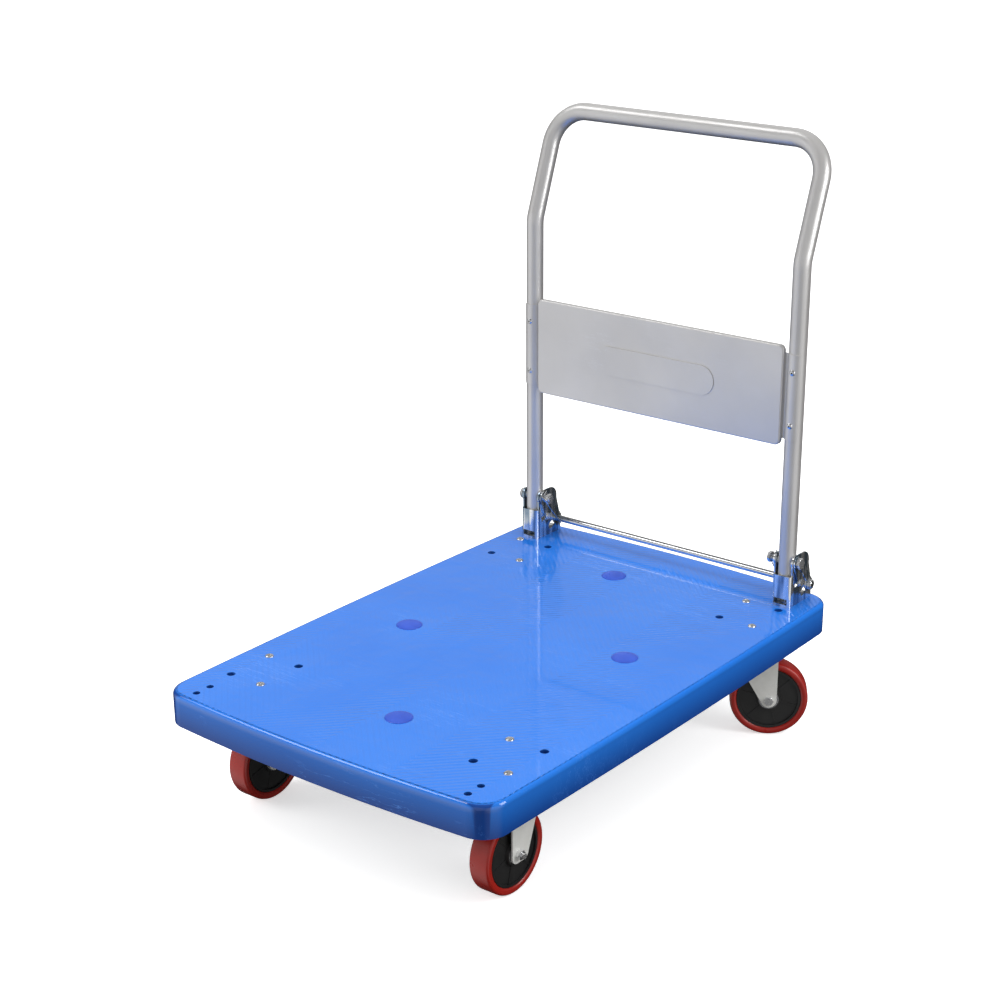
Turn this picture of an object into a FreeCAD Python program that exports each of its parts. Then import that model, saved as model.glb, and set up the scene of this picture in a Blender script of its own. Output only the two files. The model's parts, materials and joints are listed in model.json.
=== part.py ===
import FreeCAD, Part
import math
import os

from FreeCAD import Placement, Rotation, Vector

# A folding platform cart: a moulded deck on two rigid and two swivel casters, with a bent
# tube handle that folds down over the deck. Millimetres. The origin is on the floor under the
# middle of the deck, +Y points to the handle, +X to the right and +Z up.

# ---- making values
past = 1.0  # how far a cutter runs past what it cuts
sink = 0.5  # how far a piece is sunk into the one it is joined to
near = 0.01  # how close two places must be to count as one
hex_turned = 0.93  # where a hexagon's outer chamfer starts, as a share of its corner radius

# ---- deck
deck_length = 915.0
deck_width = 615.0
rim_height = 51.0
end_bow = 14.0
side_bow = 5.7
corner_radius = 40.0
top_edge_radius = 8.0
skin = 5.0
rim_wall = 4.5
rib_wall = 3.5
rib_depth = 34.0
rib_pitch_x = 62.0
rib_pitch_y = 66.0
boss_radius = 12.0
pad_margin = 6.0

# ---- round plugs in the deck
cap_radius = 20.5
cap_rise = 3.5
cap_stem_radius = 15.0
cap_stem_length = 9.0
cap_fit = 0.3
cap_stem_wall = 2.5
cap_floor = 2.0
cap_end_x = 33.0
cap_end_inset = 148.5
cap_side_y = 51.0
cap_side_inset = 138.5

# ---- casters
wheel_radius = 62.5
tyre_width = 34.0
tyre_corner = 5.0
tyre_thickness = 11.5
core_rim_wall = 4.0
core_rim_width = 31.0
core_face_width = 25.0
hub_radius = 18.0
hub_proud = 1.0
hub_side_gap = 1.25
core_ridge_count = 6
core_ridge_width = 2.6
core_ridge_rise = 0.9
core_ridge_turn = 15.0
core_hub_flare = 1.5
core_sleeve_room = 2.0
bearing_radius = 16.0
bearing_width = 10.0
bearing_shield_depth = 0.8
bearing_race_wall = 2.2
bearing_play = 0.05
sleeve_radius = 6.0
axle_radius = 4.0
axle_hole_play = 0.2
leg_thickness = 2.5
caster_inset_x = 78.5
caster_inset_y = 149.0
plate_edge = 12.0
plate_thickness = 3.5
plate_corner = 8.0
plate_recess = 45.0
washer_leg_gap = 0.75
bolt_spacing_y = 80.0
plate_hole_radius = 4.5
open_hole_radius = 6.5
rigid_axle_offset = 7.0
rigid_leg_front = 13.5
rigid_leg_back = 21.0
rigid_leg_top_back = 50.0
rigid_toe_run = 4.0
rigid_toe_rise = 6.0
rigid_corner_share = 0.75
rigid_bridge_inset = 2.0
rigid_bridge_drop = 2.5
trail = 36.5
swivel_angle = 33.0
swivel_leg_radius = 12.5
swivel_leg_slant = 30.0
crown_gap = 14.0
crown_thickness = 4.0
crown_radius = 34.0
crown_drop = 11.5
kingpin_radius = 6.0
kingpin_play = 0.06
kingpin_head_radius = 10.0
kingpin_head_height = 4.5
kingpin_tail = 13.0
kingpin_collar_wall = 5.0
kingpin_nut_flats = 19.0
kingpin_nut_height = 8.0
kingpin_washer_radius = 13.0
kingpin_washer_height = 2.0
race_radius = 26.0
race_half_width = 7.0
race_lip = 2.5
ball_radius = 3.1
ball_count = 14
ball_play = 0.05
washer_gap = 0.3
axle_head_height = 5.3
axle_nut_flats = 13.0
axle_nut_height = 6.5
axle_past_nut = 4.5

# ---- caster screws
screw_radius = 4.0
screw_play = 0.25
screw_head_radius = 6.5
screw_head_height = 3.2
screw_head_round_share = 0.6
screw_cross_share = 0.6
screw_cross_half_width = 0.7
screw_cross_floor_share = 0.3
screw_past_nut = 1.3
caster_washer_radius = 7.5
caster_washer_height = 1.6
caster_nut_height = 6.5
caster_nut_flats = 13.0

# ---- hinge brackets
hinge_inset = 55.5
bracket_sheet = 2.4
tube_side_gap = 0.6
cup_height = 52.0
cup_window_low = 4.0
cup_window_high = 13.5
cup_window_margin = 5.0
cup_corner = 6.0
cheek_wall = 5.0
cheek_foot_spread = 1.0
cheek_top_setback = 10.5
cheek_back_mid_height = 26.0
cheek_back_top_height = 62.0
cheek_height = 85.0
cheek_front_radius = 13.0
cheek_neck = 6.0
cheek_neck_inset = 1.5
cheek_front_angles = (26.0, -20.0, -67.0)
cheek_crest_setback = 3.0
cheek_corner = 18.0
bracket_bolt_setbacks = (17.0, 44.0)
bracket_bolt_radius = 5.0
bracket_bolt_play = 0.2
bracket_bolt_hole_radius = 5.5
bracket_bolt_head_radius = 9.0
bracket_bolt_head_height = 5.0
bracket_bolt_round_share = 0.7
bracket_bolt_tail = 14.0
bracket_washer_radius = 11.5
bracket_washer_height = 2.0
bracket_nut_flats = 16.0
bracket_nut_height = 8.0

# ---- handle
handle_setback = 76.5
tube_radius = 14.0
tube_wall = 1.6
tube_bottom = 22.0
pivot_height = 73.0
knee_height = 554.0
top_height = 725.0
lean_back = 62.5
knee_radius = 45.0
top_corner_radius = 57.0
bush_radius = 7.0
bush_play = 0.05
bush_end_gap = 0.3
pivot_radius = 5.0
pivot_hole_play = 0.1
plug_flange = 2.5
plug_stem = 14.0
plug_wall = 2.0

# ---- panel
panel_low = 265.0
panel_high = 425.0
panel_sheet = 1.2
panel_flange_step = 11.5
panel_wrap_angle = 50.0
panel_hem = 7.0
panel_hem_lip = 7.2
panel_side_gap = 3.0
panel_corner = 9.0
panel_bend = 2.5
swage_width = 224.0
swage_height = 48.0
swage_rise = 1.5
rivet_heights = (300.0, 385.0)
rivet_radius = 2.4
rivet_head_radius = 4.9
rivet_head_height = 1.9
rivet_seat_gap = 0.05
rivet_bulb_radius = 3.8
rivet_bulb_length = 4.0
rivet_bulb_gap = 0.1

# ---- release bar
bar_radius = 5.5
bar_angle = 39.3
heel_clearance = 1.6
bar_past_link = 5.5
bar_chamfer = 0.8
bar_washer_rim = 3.0
bar_washer_height = 1.2
bar_nut_wall = 2.0
bar_nut_height = 3.5
bar_swing = 16.0
bar_slot_play = 0.45
link_sheet = 2.5
link_gap = 0.5
link_pivot_rim = 6.0
link_bar_rim = 5.5
link_pin_rim = 4.5
link_play = 0.1
pin_arm = 39.0
pin_angle = 18.7
pin_radius = 3.5
pin_slot_play = 0.5
slot_lead = 1.5
pin_head_rim = 2.0
pin_head_height = 2.0
pin_inner_gap = 0.3
bead_width = 5.0
bead_rise = 1.2
bead_end_gap = 2.0
spring_wire = 1.6
spring_turns = 2.25
spring_coil_step = 1.84
spring_play = 0.8
spring_side_gap = 0.6
pivot_head_gap = 0.4
pivot_head_height = 6.4
pivot_flats = 16.0
pivot_nut_height = 5.0
pivot_past_nut = 1.5
spring_leg_past_bar = 4.0
spring_short_leg = 11.0

X = Vector(1, 0, 0)
Y = Vector(0, 1, 0)
Z = Vector(0, 0, 1)

# ---- values worked out from the sizes above
half_length = deck_length / 2
half_width = deck_width / 2
core_radius = wheel_radius - tyre_thickness
hub_width = tyre_width + 2 * hub_proud
leg_gap = hub_width + 2 * hub_side_gap
leg_outer = leg_gap / 2 + leg_thickness
bolt_spacing_x = 2 * (leg_outer + washer_leg_gap + caster_washer_radius)
plate_width = bolt_spacing_x + 2 * plate_edge
plate_length = bolt_spacing_y + 2 * plate_edge
axle_height = wheel_radius
crown_bottom = 2 * wheel_radius + crown_gap
crown_top = crown_bottom + crown_thickness
plate_bottom = crown_top + crown_drop
plate_top = plate_bottom + plate_thickness
deck_top = plate_top + plate_recess
rim_bottom = deck_top - rim_height
caster_x = half_width - caster_inset_x
caster_y = half_length - caster_inset_y
cap_end_y = half_length - cap_end_inset
cap_side_x = half_width - cap_side_inset
cap_places = [(cap_end_x, -cap_end_y), (-cap_side_x, -cap_side_y)]
cap_places += [(-x, -y) for x, y in cap_places]
hinge_x = half_width - hinge_inset
tube_y = half_length - handle_setback
tube_bore = tube_radius - tube_wall
cheek_inner = tube_radius + tube_side_gap
cheek_outer = cheek_inner + bracket_sheet
cup_front = tube_y - cheek_outer
link_inner = cheek_outer + link_gap
link_outer = link_inner + link_sheet
link_pivot_pad = pivot_radius + link_pivot_rim
link_bar_pad = bar_radius + link_bar_rim
link_pin_pad = pin_radius + link_pin_rim
heel_radius = math.hypot(tube_radius, pivot_height - tube_bottom + plug_flange)
bar_arm = heel_radius + heel_clearance + bar_radius
pivot_point = Vector(0, tube_y, deck_top + pivot_height)
bar_point = pivot_point + Rotation(X, bar_angle).multVec(Z * -bar_arm)
pin_point = pivot_point + Rotation(X, pin_angle).multVec(Z * -pin_arm)
cheek_back_mid = bar_point.y + bar_radius + bar_slot_play + cheek_wall
cheek_back = cheek_back_mid + cheek_foot_spread
cheek_back_top = cheek_back_mid - cheek_top_setback
bracket_bolt_y = [tube_y + setback for setback in bracket_bolt_setbacks]
panel_back = tube_y - tube_radius
panel_front = panel_back - panel_sheet
hem_back = panel_back + panel_hem


# ---- small builders

def block(x0, x1, y0, y1, z0, z1):
    return Part.makeBox(x1 - x0, y1 - y0, z1 - z0, Vector(x0, y0, z0))


def rod(radius, start, axis, length):
    return Part.makeCylinder(radius, length, start, axis)


def ring(radius, bore, start, axis, length):
    return rod(radius, start, axis, length).cut(rod(bore, start - axis * past, axis, length + 2 * past))


def hexagon(flats, start, axis, height):
    """A six-sided prism with its outer corners turned off."""
    corner = flats / math.sqrt(3)
    side = axis.cross(Z) if abs(axis.z) < near else X
    side.normalize()
    points = []
    for i in range(7):
        turn = Rotation(axis, 60.0 * i)
        points.append(start + turn.multVec(side) * corner)
    prism = Part.Face(Part.makePolygon(points)).extrude(axis * height)
    dome = Part.makeCone(corner * hex_turned + height, corner * hex_turned, height, start, axis)
    return prism.common(dome)


def nut(flats, bore, start, axis, height):
    hole = rod(bore, start - axis * past, axis, height + 2 * past)
    return hexagon(flats, start, axis, height).cut(hole)


def hull_of_two(a, ra, b, rb, axis, thickness):
    """A flat link with a round pad at each end, and sides tangent to both pads."""
    along = b - a
    gap = along.Length
    along.normalize()
    side = axis.cross(along)
    lean = math.asin((ra - rb) / gap)
    normals = [side * (s * math.cos(lean)) + along * math.sin(lean) for s in (1, -1)]
    corners = [a + normals[0] * ra, b + normals[0] * rb, b + normals[1] * rb, a + normals[1] * ra]
    web = Part.Face(Part.makePolygon(corners + corners[:1])).extrude(axis * thickness)
    ends = [rod(ra, a, axis, thickness), rod(rb, b, axis, thickness)]
    return web.multiFuse(ends).removeSplitter()


def arc_slot(centre, middle, half_width, first, last, axis, thickness):
    """A curved slot about centre: the sweep of a round hole from angle first to angle last."""
    reach = (middle - centre).Length
    low = centre - axis * (thickness / 2)
    wide = ring(reach + half_width, reach - half_width, low, axis, thickness)
    ends = []
    for angle in (first, last):
        arm = Rotation(axis, angle).multVec(middle - centre)
        ends.append(low + arm)
    far = [low + (p - low) * 2 for p in ends]
    wedge = Part.Face(Part.makePolygon([low, far[0], far[1], low])).extrude(axis * thickness)
    pads = [rod(half_width, p, axis, thickness) for p in ends]
    return wide.common(wedge).multiFuse(pads)


def rounded_outline(points, radii):
    """A wire through points with an arc of the given radius at each inner point."""
    edges = []
    last = points[0]
    for i in range(1, len(points) - 1):
        here = points[i]
        to_before = (points[i - 1] - here).normalize()
        to_after = (points[i + 1] - here).normalize()
        half = to_before.getAngle(to_after) / 2
        reach = radii[i - 1] / math.tan(half)
        start = here + to_before * reach
        end = here + to_after * reach
        bisector = (to_before + to_after).normalize()
        middle = here + bisector * (radii[i - 1] / math.sin(half) - radii[i - 1])
        edges.append(Part.LineSegment(last, start).toShape())
        edges.append(Part.Arc(start, middle, end).toShape())
        last = end
    edges.append(Part.LineSegment(last, points[-1]).toShape())
    return Part.Wire(edges)


def rounded_plate(width, length, corner, thickness, centre):
    plate = Part.makeBox(width, length, thickness, centre - Vector(width / 2, length / 2, 0))
    upright = [e for e in plate.Edges if abs(e.tangentAt(e.FirstParameter).z) > 1 - near]
    return plate.makeFillet(corner, upright)


def spin(profile, axis):
    """Turn a closed outline, given as (radius, place along axis) pairs, about the axis."""
    side = Z
    points = [side * r + axis * a for r, a in profile]
    face = Part.Face(Part.makePolygon(points + points[:1]))
    return face.revolve(Vector(0, 0, 0), axis, 360)


def mirrored(shape):
    return shape.mirror(Vector(0, 0, 0), X)


def placed(shape, angle, x, y):
    copy = shape.copy()
    copy.Placement = Placement(Vector(x, y, 0), Rotation(Z, angle)).multiply(copy.Placement)
    return copy


def save(name, shapes):
    shapes = shapes if isinstance(shapes, list) else [shapes]
    solids = [s for shape in shapes for s in shape.Solids]
    result = solids[0] if len(solids) == 1 else Part.makeCompound(solids)
    result.exportStep("parts/" + name + ".step")


# ---- deck

def deck_block(inset, low, high, corner):
    """The deck's outline, bowed on all four sides, moved in by inset."""
    half_x = deck_width / 2 - inset
    half_y = deck_length / 2 - inset
    x = half_x - side_bow
    y = half_y - end_bow
    corners = [Vector(x, y, low), Vector(-x, y, low), Vector(-x, -y, low), Vector(x, -y, low)]
    middles = [Vector(0, half_y, low), Vector(-half_x, 0, low)]
    middles += [Vector(0, -half_y, low), Vector(half_x, 0, low)]
    edges = []
    for i in range(4):
        edges.append(Part.Arc(corners[i], middles[i], corners[(i + 1) % 4]).toShape())
    solid = Part.Face(Part.Wire(edges)).extrude(Z * (high - low))
    pairs = [(e, e.Vertexes[0].Z, e.Vertexes[-1].Z) for e in solid.Edges]
    upright = [e for e, first, last in pairs if abs(first - last) > near]
    return solid.makeFillet(corner, upright)


def caster_centres():
    return [(sx * caster_x, sy * caster_y) for sx in (-1, 1) for sy in (-1, 1)]


def caster_holes(mirror):
    """Hole centres on one diagonal of every caster plate."""
    px = bolt_spacing_x / 2
    py = bolt_spacing_y / 2
    return [(x + s * px, y + s * py * mirror) for x, y in caster_centres() for s in (-1, 1)]


def bracket_bolt_places(side):
    return [(sx * hinge_x, side * y) for sx in (-1, 1) for y in bracket_bolt_y]


def make_deck():
    body = deck_block(0, rim_bottom, deck_top, corner_radius)
    top_edges = [e for e in body.Edges if all(abs(v.Z - deck_top) < near for v in e.Vertexes)]
    body = body.makeFillet(top_edge_radius, top_edges)
    ceiling = deck_top - skin
    cavity = deck_block(rim_wall, rim_bottom - past, ceiling, corner_radius - rim_wall)
    rib_low = ceiling - rib_depth
    ribs = []
    count_x = int(deck_width / 2 // rib_pitch_x)
    for i in range(-count_x, count_x + 1):
        x = i * rib_pitch_x
        side = rib_wall / 2
        ribs.append(block(x - side, x + side, -deck_length, deck_length, rib_low, ceiling + past))
    count_y = int(deck_length / 2 // rib_pitch_y)
    for i in range(-count_y, count_y + 1):
        y = i * rib_pitch_y
        side = rib_wall / 2
        ribs.append(block(-deck_width, deck_width, y - side, y + side, rib_low, ceiling + past))
    lattice = ribs[0].multiFuse(ribs[1:])
    rooms = []
    walls = []
    for x, y in caster_centres():
        w = plate_width / 2 + pad_margin
        d = plate_length / 2 + pad_margin
        outer = block(x - w, x + w, y - d, y + d, plate_top, ceiling + past)
        wi = w - rib_wall
        di = d - rib_wall
        inner = block(x - wi, x + wi, y - di, y + di, plate_top - past, ceiling)
        rooms.append(inner)
        walls.append(outer.cut(inner))
    bosses = []
    for x, y in caster_holes(1) + caster_holes(-1) + bracket_bolt_places(1) + bracket_bolt_places(-1):
        bosses.append(rod(boss_radius, Vector(x, y, plate_top), Z, ceiling + past - plate_top))
    for x, y in cap_places:
        clear = cap_stem_radius + rib_wall
        rooms.append(rod(clear, Vector(x, y, rib_low - past), Z, ceiling + past - rib_low))
    lattice = lattice.cut(rooms[0].multiFuse(rooms[1:]))
    inside = lattice.multiFuse(walls + bosses)
    in_rim = rim_wall / 2
    inside = inside.common(deck_block(in_rim, rim_bottom, ceiling + sink, corner_radius - in_rim))
    body = body.cut(cavity).fuse(inside)
    holes = []
    for x, y in caster_holes(-1):
        holes.append(rod(screw_radius + screw_play, Vector(x, y, rim_bottom), Z, rim_height + past))
    for x, y in caster_holes(1):
        holes.append(rod(open_hole_radius, Vector(x, y, rim_bottom), Z, rim_height + past))
    for x, y in bracket_bolt_places(1) + bracket_bolt_places(-1):
        holes.append(rod(bracket_bolt_hole_radius, Vector(x, y, rim_bottom), Z, rim_height + past))
    for x, y in cap_places:
        holes.append(rod(cap_stem_radius + cap_fit, Vector(x, y, ceiling - past), Z, skin + 2 * past))
    return body.cut(holes[0].multiFuse(holes[1:])).removeSplitter()


def make_cap():
    """A low domed plug with a stem that fills the hole in the deck's skin."""
    dome_radius = (cap_radius ** 2 + cap_rise ** 2) / (2 * cap_rise)
    ball = Part.makeSphere(dome_radius, Vector(0, 0, deck_top + cap_rise - dome_radius))
    head = ball.common(rod(cap_radius, Vector(0, 0, deck_top), Z, cap_rise + past))
    stem = rod(cap_stem_radius, Vector(0, 0, deck_top - cap_stem_length), Z, cap_stem_length)
    cup_low = Vector(0, 0, deck_top - cap_stem_length - past)
    cup = rod(cap_stem_radius - cap_stem_wall, cup_low, Z, cap_stem_length + past - cap_floor)
    return head.fuse(stem).cut(cup)


# ---- caster fixings

def make_screw():
    """A pan head screw with a cross recess."""
    head = rod(screw_head_radius, Vector(0, 0, deck_top), Z, screw_head_height)
    rim = [e for e in head.Edges if abs(e.BoundBox.ZMin - deck_top - screw_head_height) < near]
    head = head.makeFillet(screw_head_height * screw_head_round_share, rim)
    shank_low = plate_bottom - caster_washer_height - caster_nut_height - screw_past_nut
    shank = rod(screw_radius, Vector(0, 0, shank_low), Z, deck_top - shank_low)
    arm = screw_head_radius * screw_cross_share
    slot = screw_cross_half_width
    deep = deck_top + screw_head_height * screw_cross_floor_share
    tip = deck_top + screw_head_height + past
    cross = block(-arm, arm, -slot, slot, deep, tip).fuse(block(-slot, slot, -arm, arm, deep, tip))
    return head.fuse(shank).cut(cross)


def make_caster_washer():
    low = Vector(0, 0, plate_bottom - caster_washer_height)
    return ring(caster_washer_radius, screw_radius + screw_play, low, Z, caster_washer_height)


def make_caster_nut():
    low = Vector(0, 0, plate_bottom - caster_washer_height - caster_nut_height)
    return nut(caster_nut_flats, screw_radius, low, Z, caster_nut_height)


# ---- casters, built with +X as the way the wheel trails and the plate's middle at x = 0

def top_plate():
    low = Vector(0, 0, plate_bottom)
    return rounded_plate(plate_width, plate_length, plate_corner, plate_thickness, low)


def plate_holes():
    holes = []
    for sx in (-1, 1):
        for sy in (-1, 1):
            place = Vector(sx * bolt_spacing_x / 2, sy * bolt_spacing_y / 2, plate_bottom - past)
            holes.append(rod(plate_hole_radius, place, Z, plate_thickness + 2 * past))
    return holes[0].multiFuse(holes[1:])


def leg_pair(outline, corner, corners):
    """Two legs from an outline in the XZ plane, with rounded corners at its listed places."""
    legs = []
    for start in (-leg_outer, leg_gap / 2):
        points = [Vector(x, start, z) for x, z in outline]
        leg = Part.Face(Part.makePolygon(points + points[:1])).extrude(Y * leg_thickness)
        picked = []
        for edge in leg.Edges:
            first, last = edge.Vertexes[0].Point, edge.Vertexes[1].Point
            if abs(first.y - last.y) < near:
                continue
            if any(abs(first.x - x) < near and abs(first.z - z) < near for x, z in corners):
                picked.append(edge)
        legs.append(leg.makeFillet(corner, picked))
    return legs


def make_rigid_fork():
    """Plate and two legs. +X points away from the handle here."""
    low = axle_height - rigid_leg_front
    front = rigid_axle_offset + rigid_leg_front
    back = rigid_axle_offset - rigid_leg_back
    high = plate_bottom + sink
    toe = [(back + rigid_toe_run, low), (back, low + rigid_toe_rise)]
    outline = [(front, high), (front, low)] + toe + [(-rigid_leg_top_back, high)]
    legs = leg_pair(outline, rigid_leg_front * rigid_corner_share, [(front, low)])
    bridge_low = plate_bottom - rigid_bridge_drop
    bridge = block(rigid_bridge_inset - rigid_leg_top_back, front, -leg_outer, leg_outer, bridge_low, high)
    plate = top_plate()
    plate.rotate(Vector(0, 0, 0), Z, 90)
    holes = plate_holes()
    holes.rotate(Vector(0, 0, 0), Z, 90)
    axle_start = Vector(rigid_axle_offset, -leg_outer - past, axle_height)
    axle = rod(axle_radius + axle_hole_play, axle_start, Y, 2 * (leg_outer + past))
    return plate.multiFuse(legs + [bridge]).removeSplitter().cut(holes).cut(axle)


def make_swivel_plate():
    race_low = crown_top + 2 * (ball_radius + ball_play)
    inner = race_radius - race_half_width
    outer = race_radius + race_half_width
    low = Vector(0, 0, race_low)
    height = plate_bottom + sink - race_low
    race = ring(outer, inner, low, Z, height)
    lip = [e for e in race.Edges if abs(e.BoundBox.ZMax - race_low) < near]
    lip = [e for e in lip if e.BoundBox.XMax > outer - near]
    race = race.makeFillet(race_lip, lip)
    centre = ring(kingpin_radius + kingpin_collar_wall, kingpin_radius - past, low, Z, height)
    bore = rod(kingpin_radius, Vector(0, 0, race_low - past), Z, plate_top + 2 * past - race_low)
    return top_plate().multiFuse([race, centre]).cut(plate_holes()).cut(bore)


def make_kingpin():
    low = crown_bottom - kingpin_tail
    shank = rod(kingpin_radius, Vector(0, 0, low), Z, plate_top - low)
    head = rod(kingpin_head_radius, Vector(0, 0, plate_top), Z, kingpin_head_height)
    return shank.fuse(head)


def make_kingpin_washer():
    low = Vector(0, 0, crown_bottom - washer_gap - kingpin_washer_height)
    return ring(kingpin_washer_radius, kingpin_radius, low, Z, kingpin_washer_height)


def make_kingpin_nut():
    low = crown_bottom - washer_gap - kingpin_washer_height - kingpin_nut_height
    return nut(kingpin_nut_flats, kingpin_radius, Vector(0, 0, low), Z, kingpin_nut_height)


def make_balls():
    centre = crown_top + ball_radius + ball_play
    balls = []
    for i in range(ball_count):
        turn = 2 * math.pi * i / ball_count
        place = Vector(race_radius * math.cos(turn), race_radius * math.sin(turn), centre)
        balls.append(Part.makeSphere(ball_radius, place))
    return balls


def make_swivel_fork():
    slant = math.radians(swivel_leg_slant)
    reach = swivel_leg_radius
    toe = trail + reach
    lead_x = trail - reach * math.cos(slant)
    lead_z = axle_height - reach * math.sin(slant)
    top_x = lead_x - (crown_top - lead_z) * math.tan(slant)
    legs = []
    for start in (-leg_outer, leg_gap / 2):
        corners = [(toe, crown_top), (toe, axle_height), (trail, axle_height)]
        corners += [(lead_x, lead_z), (top_x, crown_top)]
        points = [Vector(x, start, z) for x, z in corners]
        leg = Part.Face(Part.makePolygon(points + points[:1])).extrude(Y * leg_thickness)
        foot = rod(reach, Vector(trail, start, axle_height), Y, leg_thickness)
        legs.append(leg.fuse(foot).removeSplitter())
    crown = block(top_x, toe, -leg_outer, leg_outer, crown_bottom, crown_top)
    disc = rod(crown_radius, Vector(0, 0, crown_bottom), Z, crown_thickness)
    fork = crown.multiFuse([disc] + legs).removeSplitter()
    bore_low = Vector(0, 0, crown_bottom - past)
    bore = rod(kingpin_radius + kingpin_play, bore_low, Z, crown_thickness + 2 * past)
    axle_start = Vector(trail, -leg_outer - past, axle_height)
    axle = rod(axle_radius + axle_hole_play, axle_start, Y, 2 * (leg_outer + past))
    return fork.cut(bore).cut(axle)


def make_axle_bolt(x, head_side):
    """A hexagon bolt across the fork, with its head on the side of the given sign."""
    way = Y * head_side
    face = Vector(x, head_side * leg_outer, axle_height)
    head = hexagon(axle_nut_flats, face, way, axle_head_height)
    sunk = axle_head_height / 2
    length = sunk + leg_outer * 2 + axle_nut_height + axle_past_nut
    shank = rod(axle_radius, face + way * sunk, way * -1, length)
    return head.fuse(shank)


def make_axle_nut(x, head_side):
    way = Y * -head_side
    face = Vector(x, -head_side * leg_outer, axle_height)
    return nut(axle_nut_flats, axle_radius, face, way, axle_nut_height)


def make_sleeve(x):
    start = Vector(x, -leg_gap / 2, axle_height)
    return ring(sleeve_radius, axle_radius + axle_hole_play, start, Y, leg_gap)


def make_tyre():
    half = tyre_width / 2
    outline = [(core_radius, -half), (wheel_radius, -half)]
    outline += [(wheel_radius, half), (core_radius, half)]
    body = spin(outline, Y)
    rims = [e for e in body.Edges if abs(e.BoundBox.ZMax - wheel_radius) < near]
    rims = [e for e in rims if e.BoundBox.YLength < near]
    return body.makeFillet(tyre_corner, rims)


def make_core():
    rim = core_rim_width / 2
    face = core_face_width / 2
    hub = hub_width / 2
    seat = hub - bearing_width
    ring_in = core_radius - core_rim_wall
    half = [(ring_in, face), (hub_radius + core_hub_flare, face), (hub_radius, hub), (bearing_radius, hub)]
    half += [(bearing_radius, seat), (sleeve_radius + core_sleeve_room, seat)]
    outline = [(core_radius, rim), (ring_in, rim)] + half
    outline += [(r, -a) for r, a in reversed(outline)]
    core = spin(outline, Y)
    ridges = []
    for i in range(core_ridge_count):
        for side in (-1, 1):
            start = face - sink if side > 0 else -face - core_ridge_rise
            end = start + sink + core_ridge_rise
            w = core_ridge_width / 2
            bar = block(hub_radius, ring_in + sink, start, end, -w, w)
            bar.rotate(Vector(0, 0, 0), Y, 360.0 * i / core_ridge_count + core_ridge_turn)
            ridges.append(bar)
    return core.multiFuse(ridges).removeSplitter()


def make_bearings():
    half = hub_width / 2
    bore = sleeve_radius + bearing_play
    pair = []
    for side in (-1, 1):
        outer = half * side
        inner = (half - bearing_width) * side
        dip = (half - bearing_shield_depth) * side
        race = bearing_radius - bearing_race_wall
        lip = bore + bearing_race_wall
        outline = [(bore, inner), (bearing_radius, inner), (bearing_radius, outer), (race, outer)]
        outline += [(race, dip), (lip, dip), (lip, outer), (bore, outer)]
        pair.append(spin(outline, Y))
    return pair


def wheel_at(shape, x):
    copy = shape.copy()
    copy.translate(Vector(x, 0, axle_height))
    return copy


# ---- hinge, built at x = 0 with +X pointing away from the middle of the cart

def cheek_outline():
    base = deck_top
    top = base + cheek_height
    neck_y = tube_y - cheek_front_radius + cheek_neck_inset
    front = Y * -cheek_front_radius
    turned = [pivot_point + Rotation(X, angle).multVec(front) for angle in cheek_front_angles]
    start_arc, mid_arc, end_arc = turned
    points = [
        Vector(0, cup_front, base + cup_height),
        Vector(0, neck_y, base + cup_height),
        Vector(0, neck_y, base + cup_height + cheek_neck),
        start_arc,
    ]
    edges = [Part.LineSegment(a, b).toShape() for a, b in zip(points, points[1:])]
    edges.append(Part.Arc(start_arc, mid_arc, end_arc).toShape())
    crest = Vector(0, tube_y + cheek_crest_setback, top)
    rear = [
        crest,
        Vector(0, cheek_back_top, top),
        Vector(0, cheek_back_top, base + cheek_back_top_height),
    ]
    edges.append(Part.LineSegment(end_arc, crest).toShape())
    room = cheek_height - cheek_back_top_height - sink
    edges += rounded_outline(rear, [min(cheek_corner, room)]).Edges
    tail = [
        rear[-1],
        Vector(0, cheek_back_mid, base + cheek_back_mid_height),
        Vector(0, cheek_back, base),
        Vector(0, cup_front, base),
        points[0],
    ]
    edges += [Part.LineSegment(a, b).toShape() for a, b in zip(tail, tail[1:])]
    return Part.Wire(edges)


def make_bracket():
    face = Part.Face(cheek_outline())
    face.translate(Vector(-cheek_outer, 0, 0))
    body = face.extrude(X * (2 * cheek_outer))
    front = [e for e in body.Edges if e.BoundBox.YMax < cup_front + near and e.BoundBox.XLength < near]
    body = body.makeFillet(cup_corner, front)
    wall = cup_front + bracket_sheet
    floor = deck_top + bracket_sheet
    ceiling = deck_top + cheek_height + past
    room = block(-cheek_inner, cheek_inner, wall, cheek_back + past, floor, ceiling)
    corners = [e for e in room.Edges if e.BoundBox.YMax < wall + near and e.BoundBox.ZLength > near]
    room = room.makeFillet(cup_corner - bracket_sheet, corners)
    width = cheek_outer - cup_window_margin
    window_low = deck_top + cup_window_low
    window_high = deck_top + cup_window_high
    window = block(-width, width, cup_front - past, wall + past, window_low, window_high)
    body = body.cut(room).cut(window)
    span = 2 * (cheek_outer + past)
    cuts = [rod(pivot_radius + pivot_hole_play, pivot_point - X * (span / 2), X, span)]
    slots = [(bar_point, bar_radius + bar_slot_play), (pin_point, pin_radius + pin_slot_play)]
    for middle, half in slots:
        cuts.append(arc_slot(pivot_point, middle, half, slot_lead, -bar_swing - slot_lead, X, span))
    for y in bracket_bolt_y:
        place = Vector(0, y, deck_top - past)
        cuts.append(rod(bracket_bolt_radius + bracket_bolt_play, place, Z, bracket_sheet + 2 * past))
    return body.cut(cuts[0].multiFuse(cuts[1:]))


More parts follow.
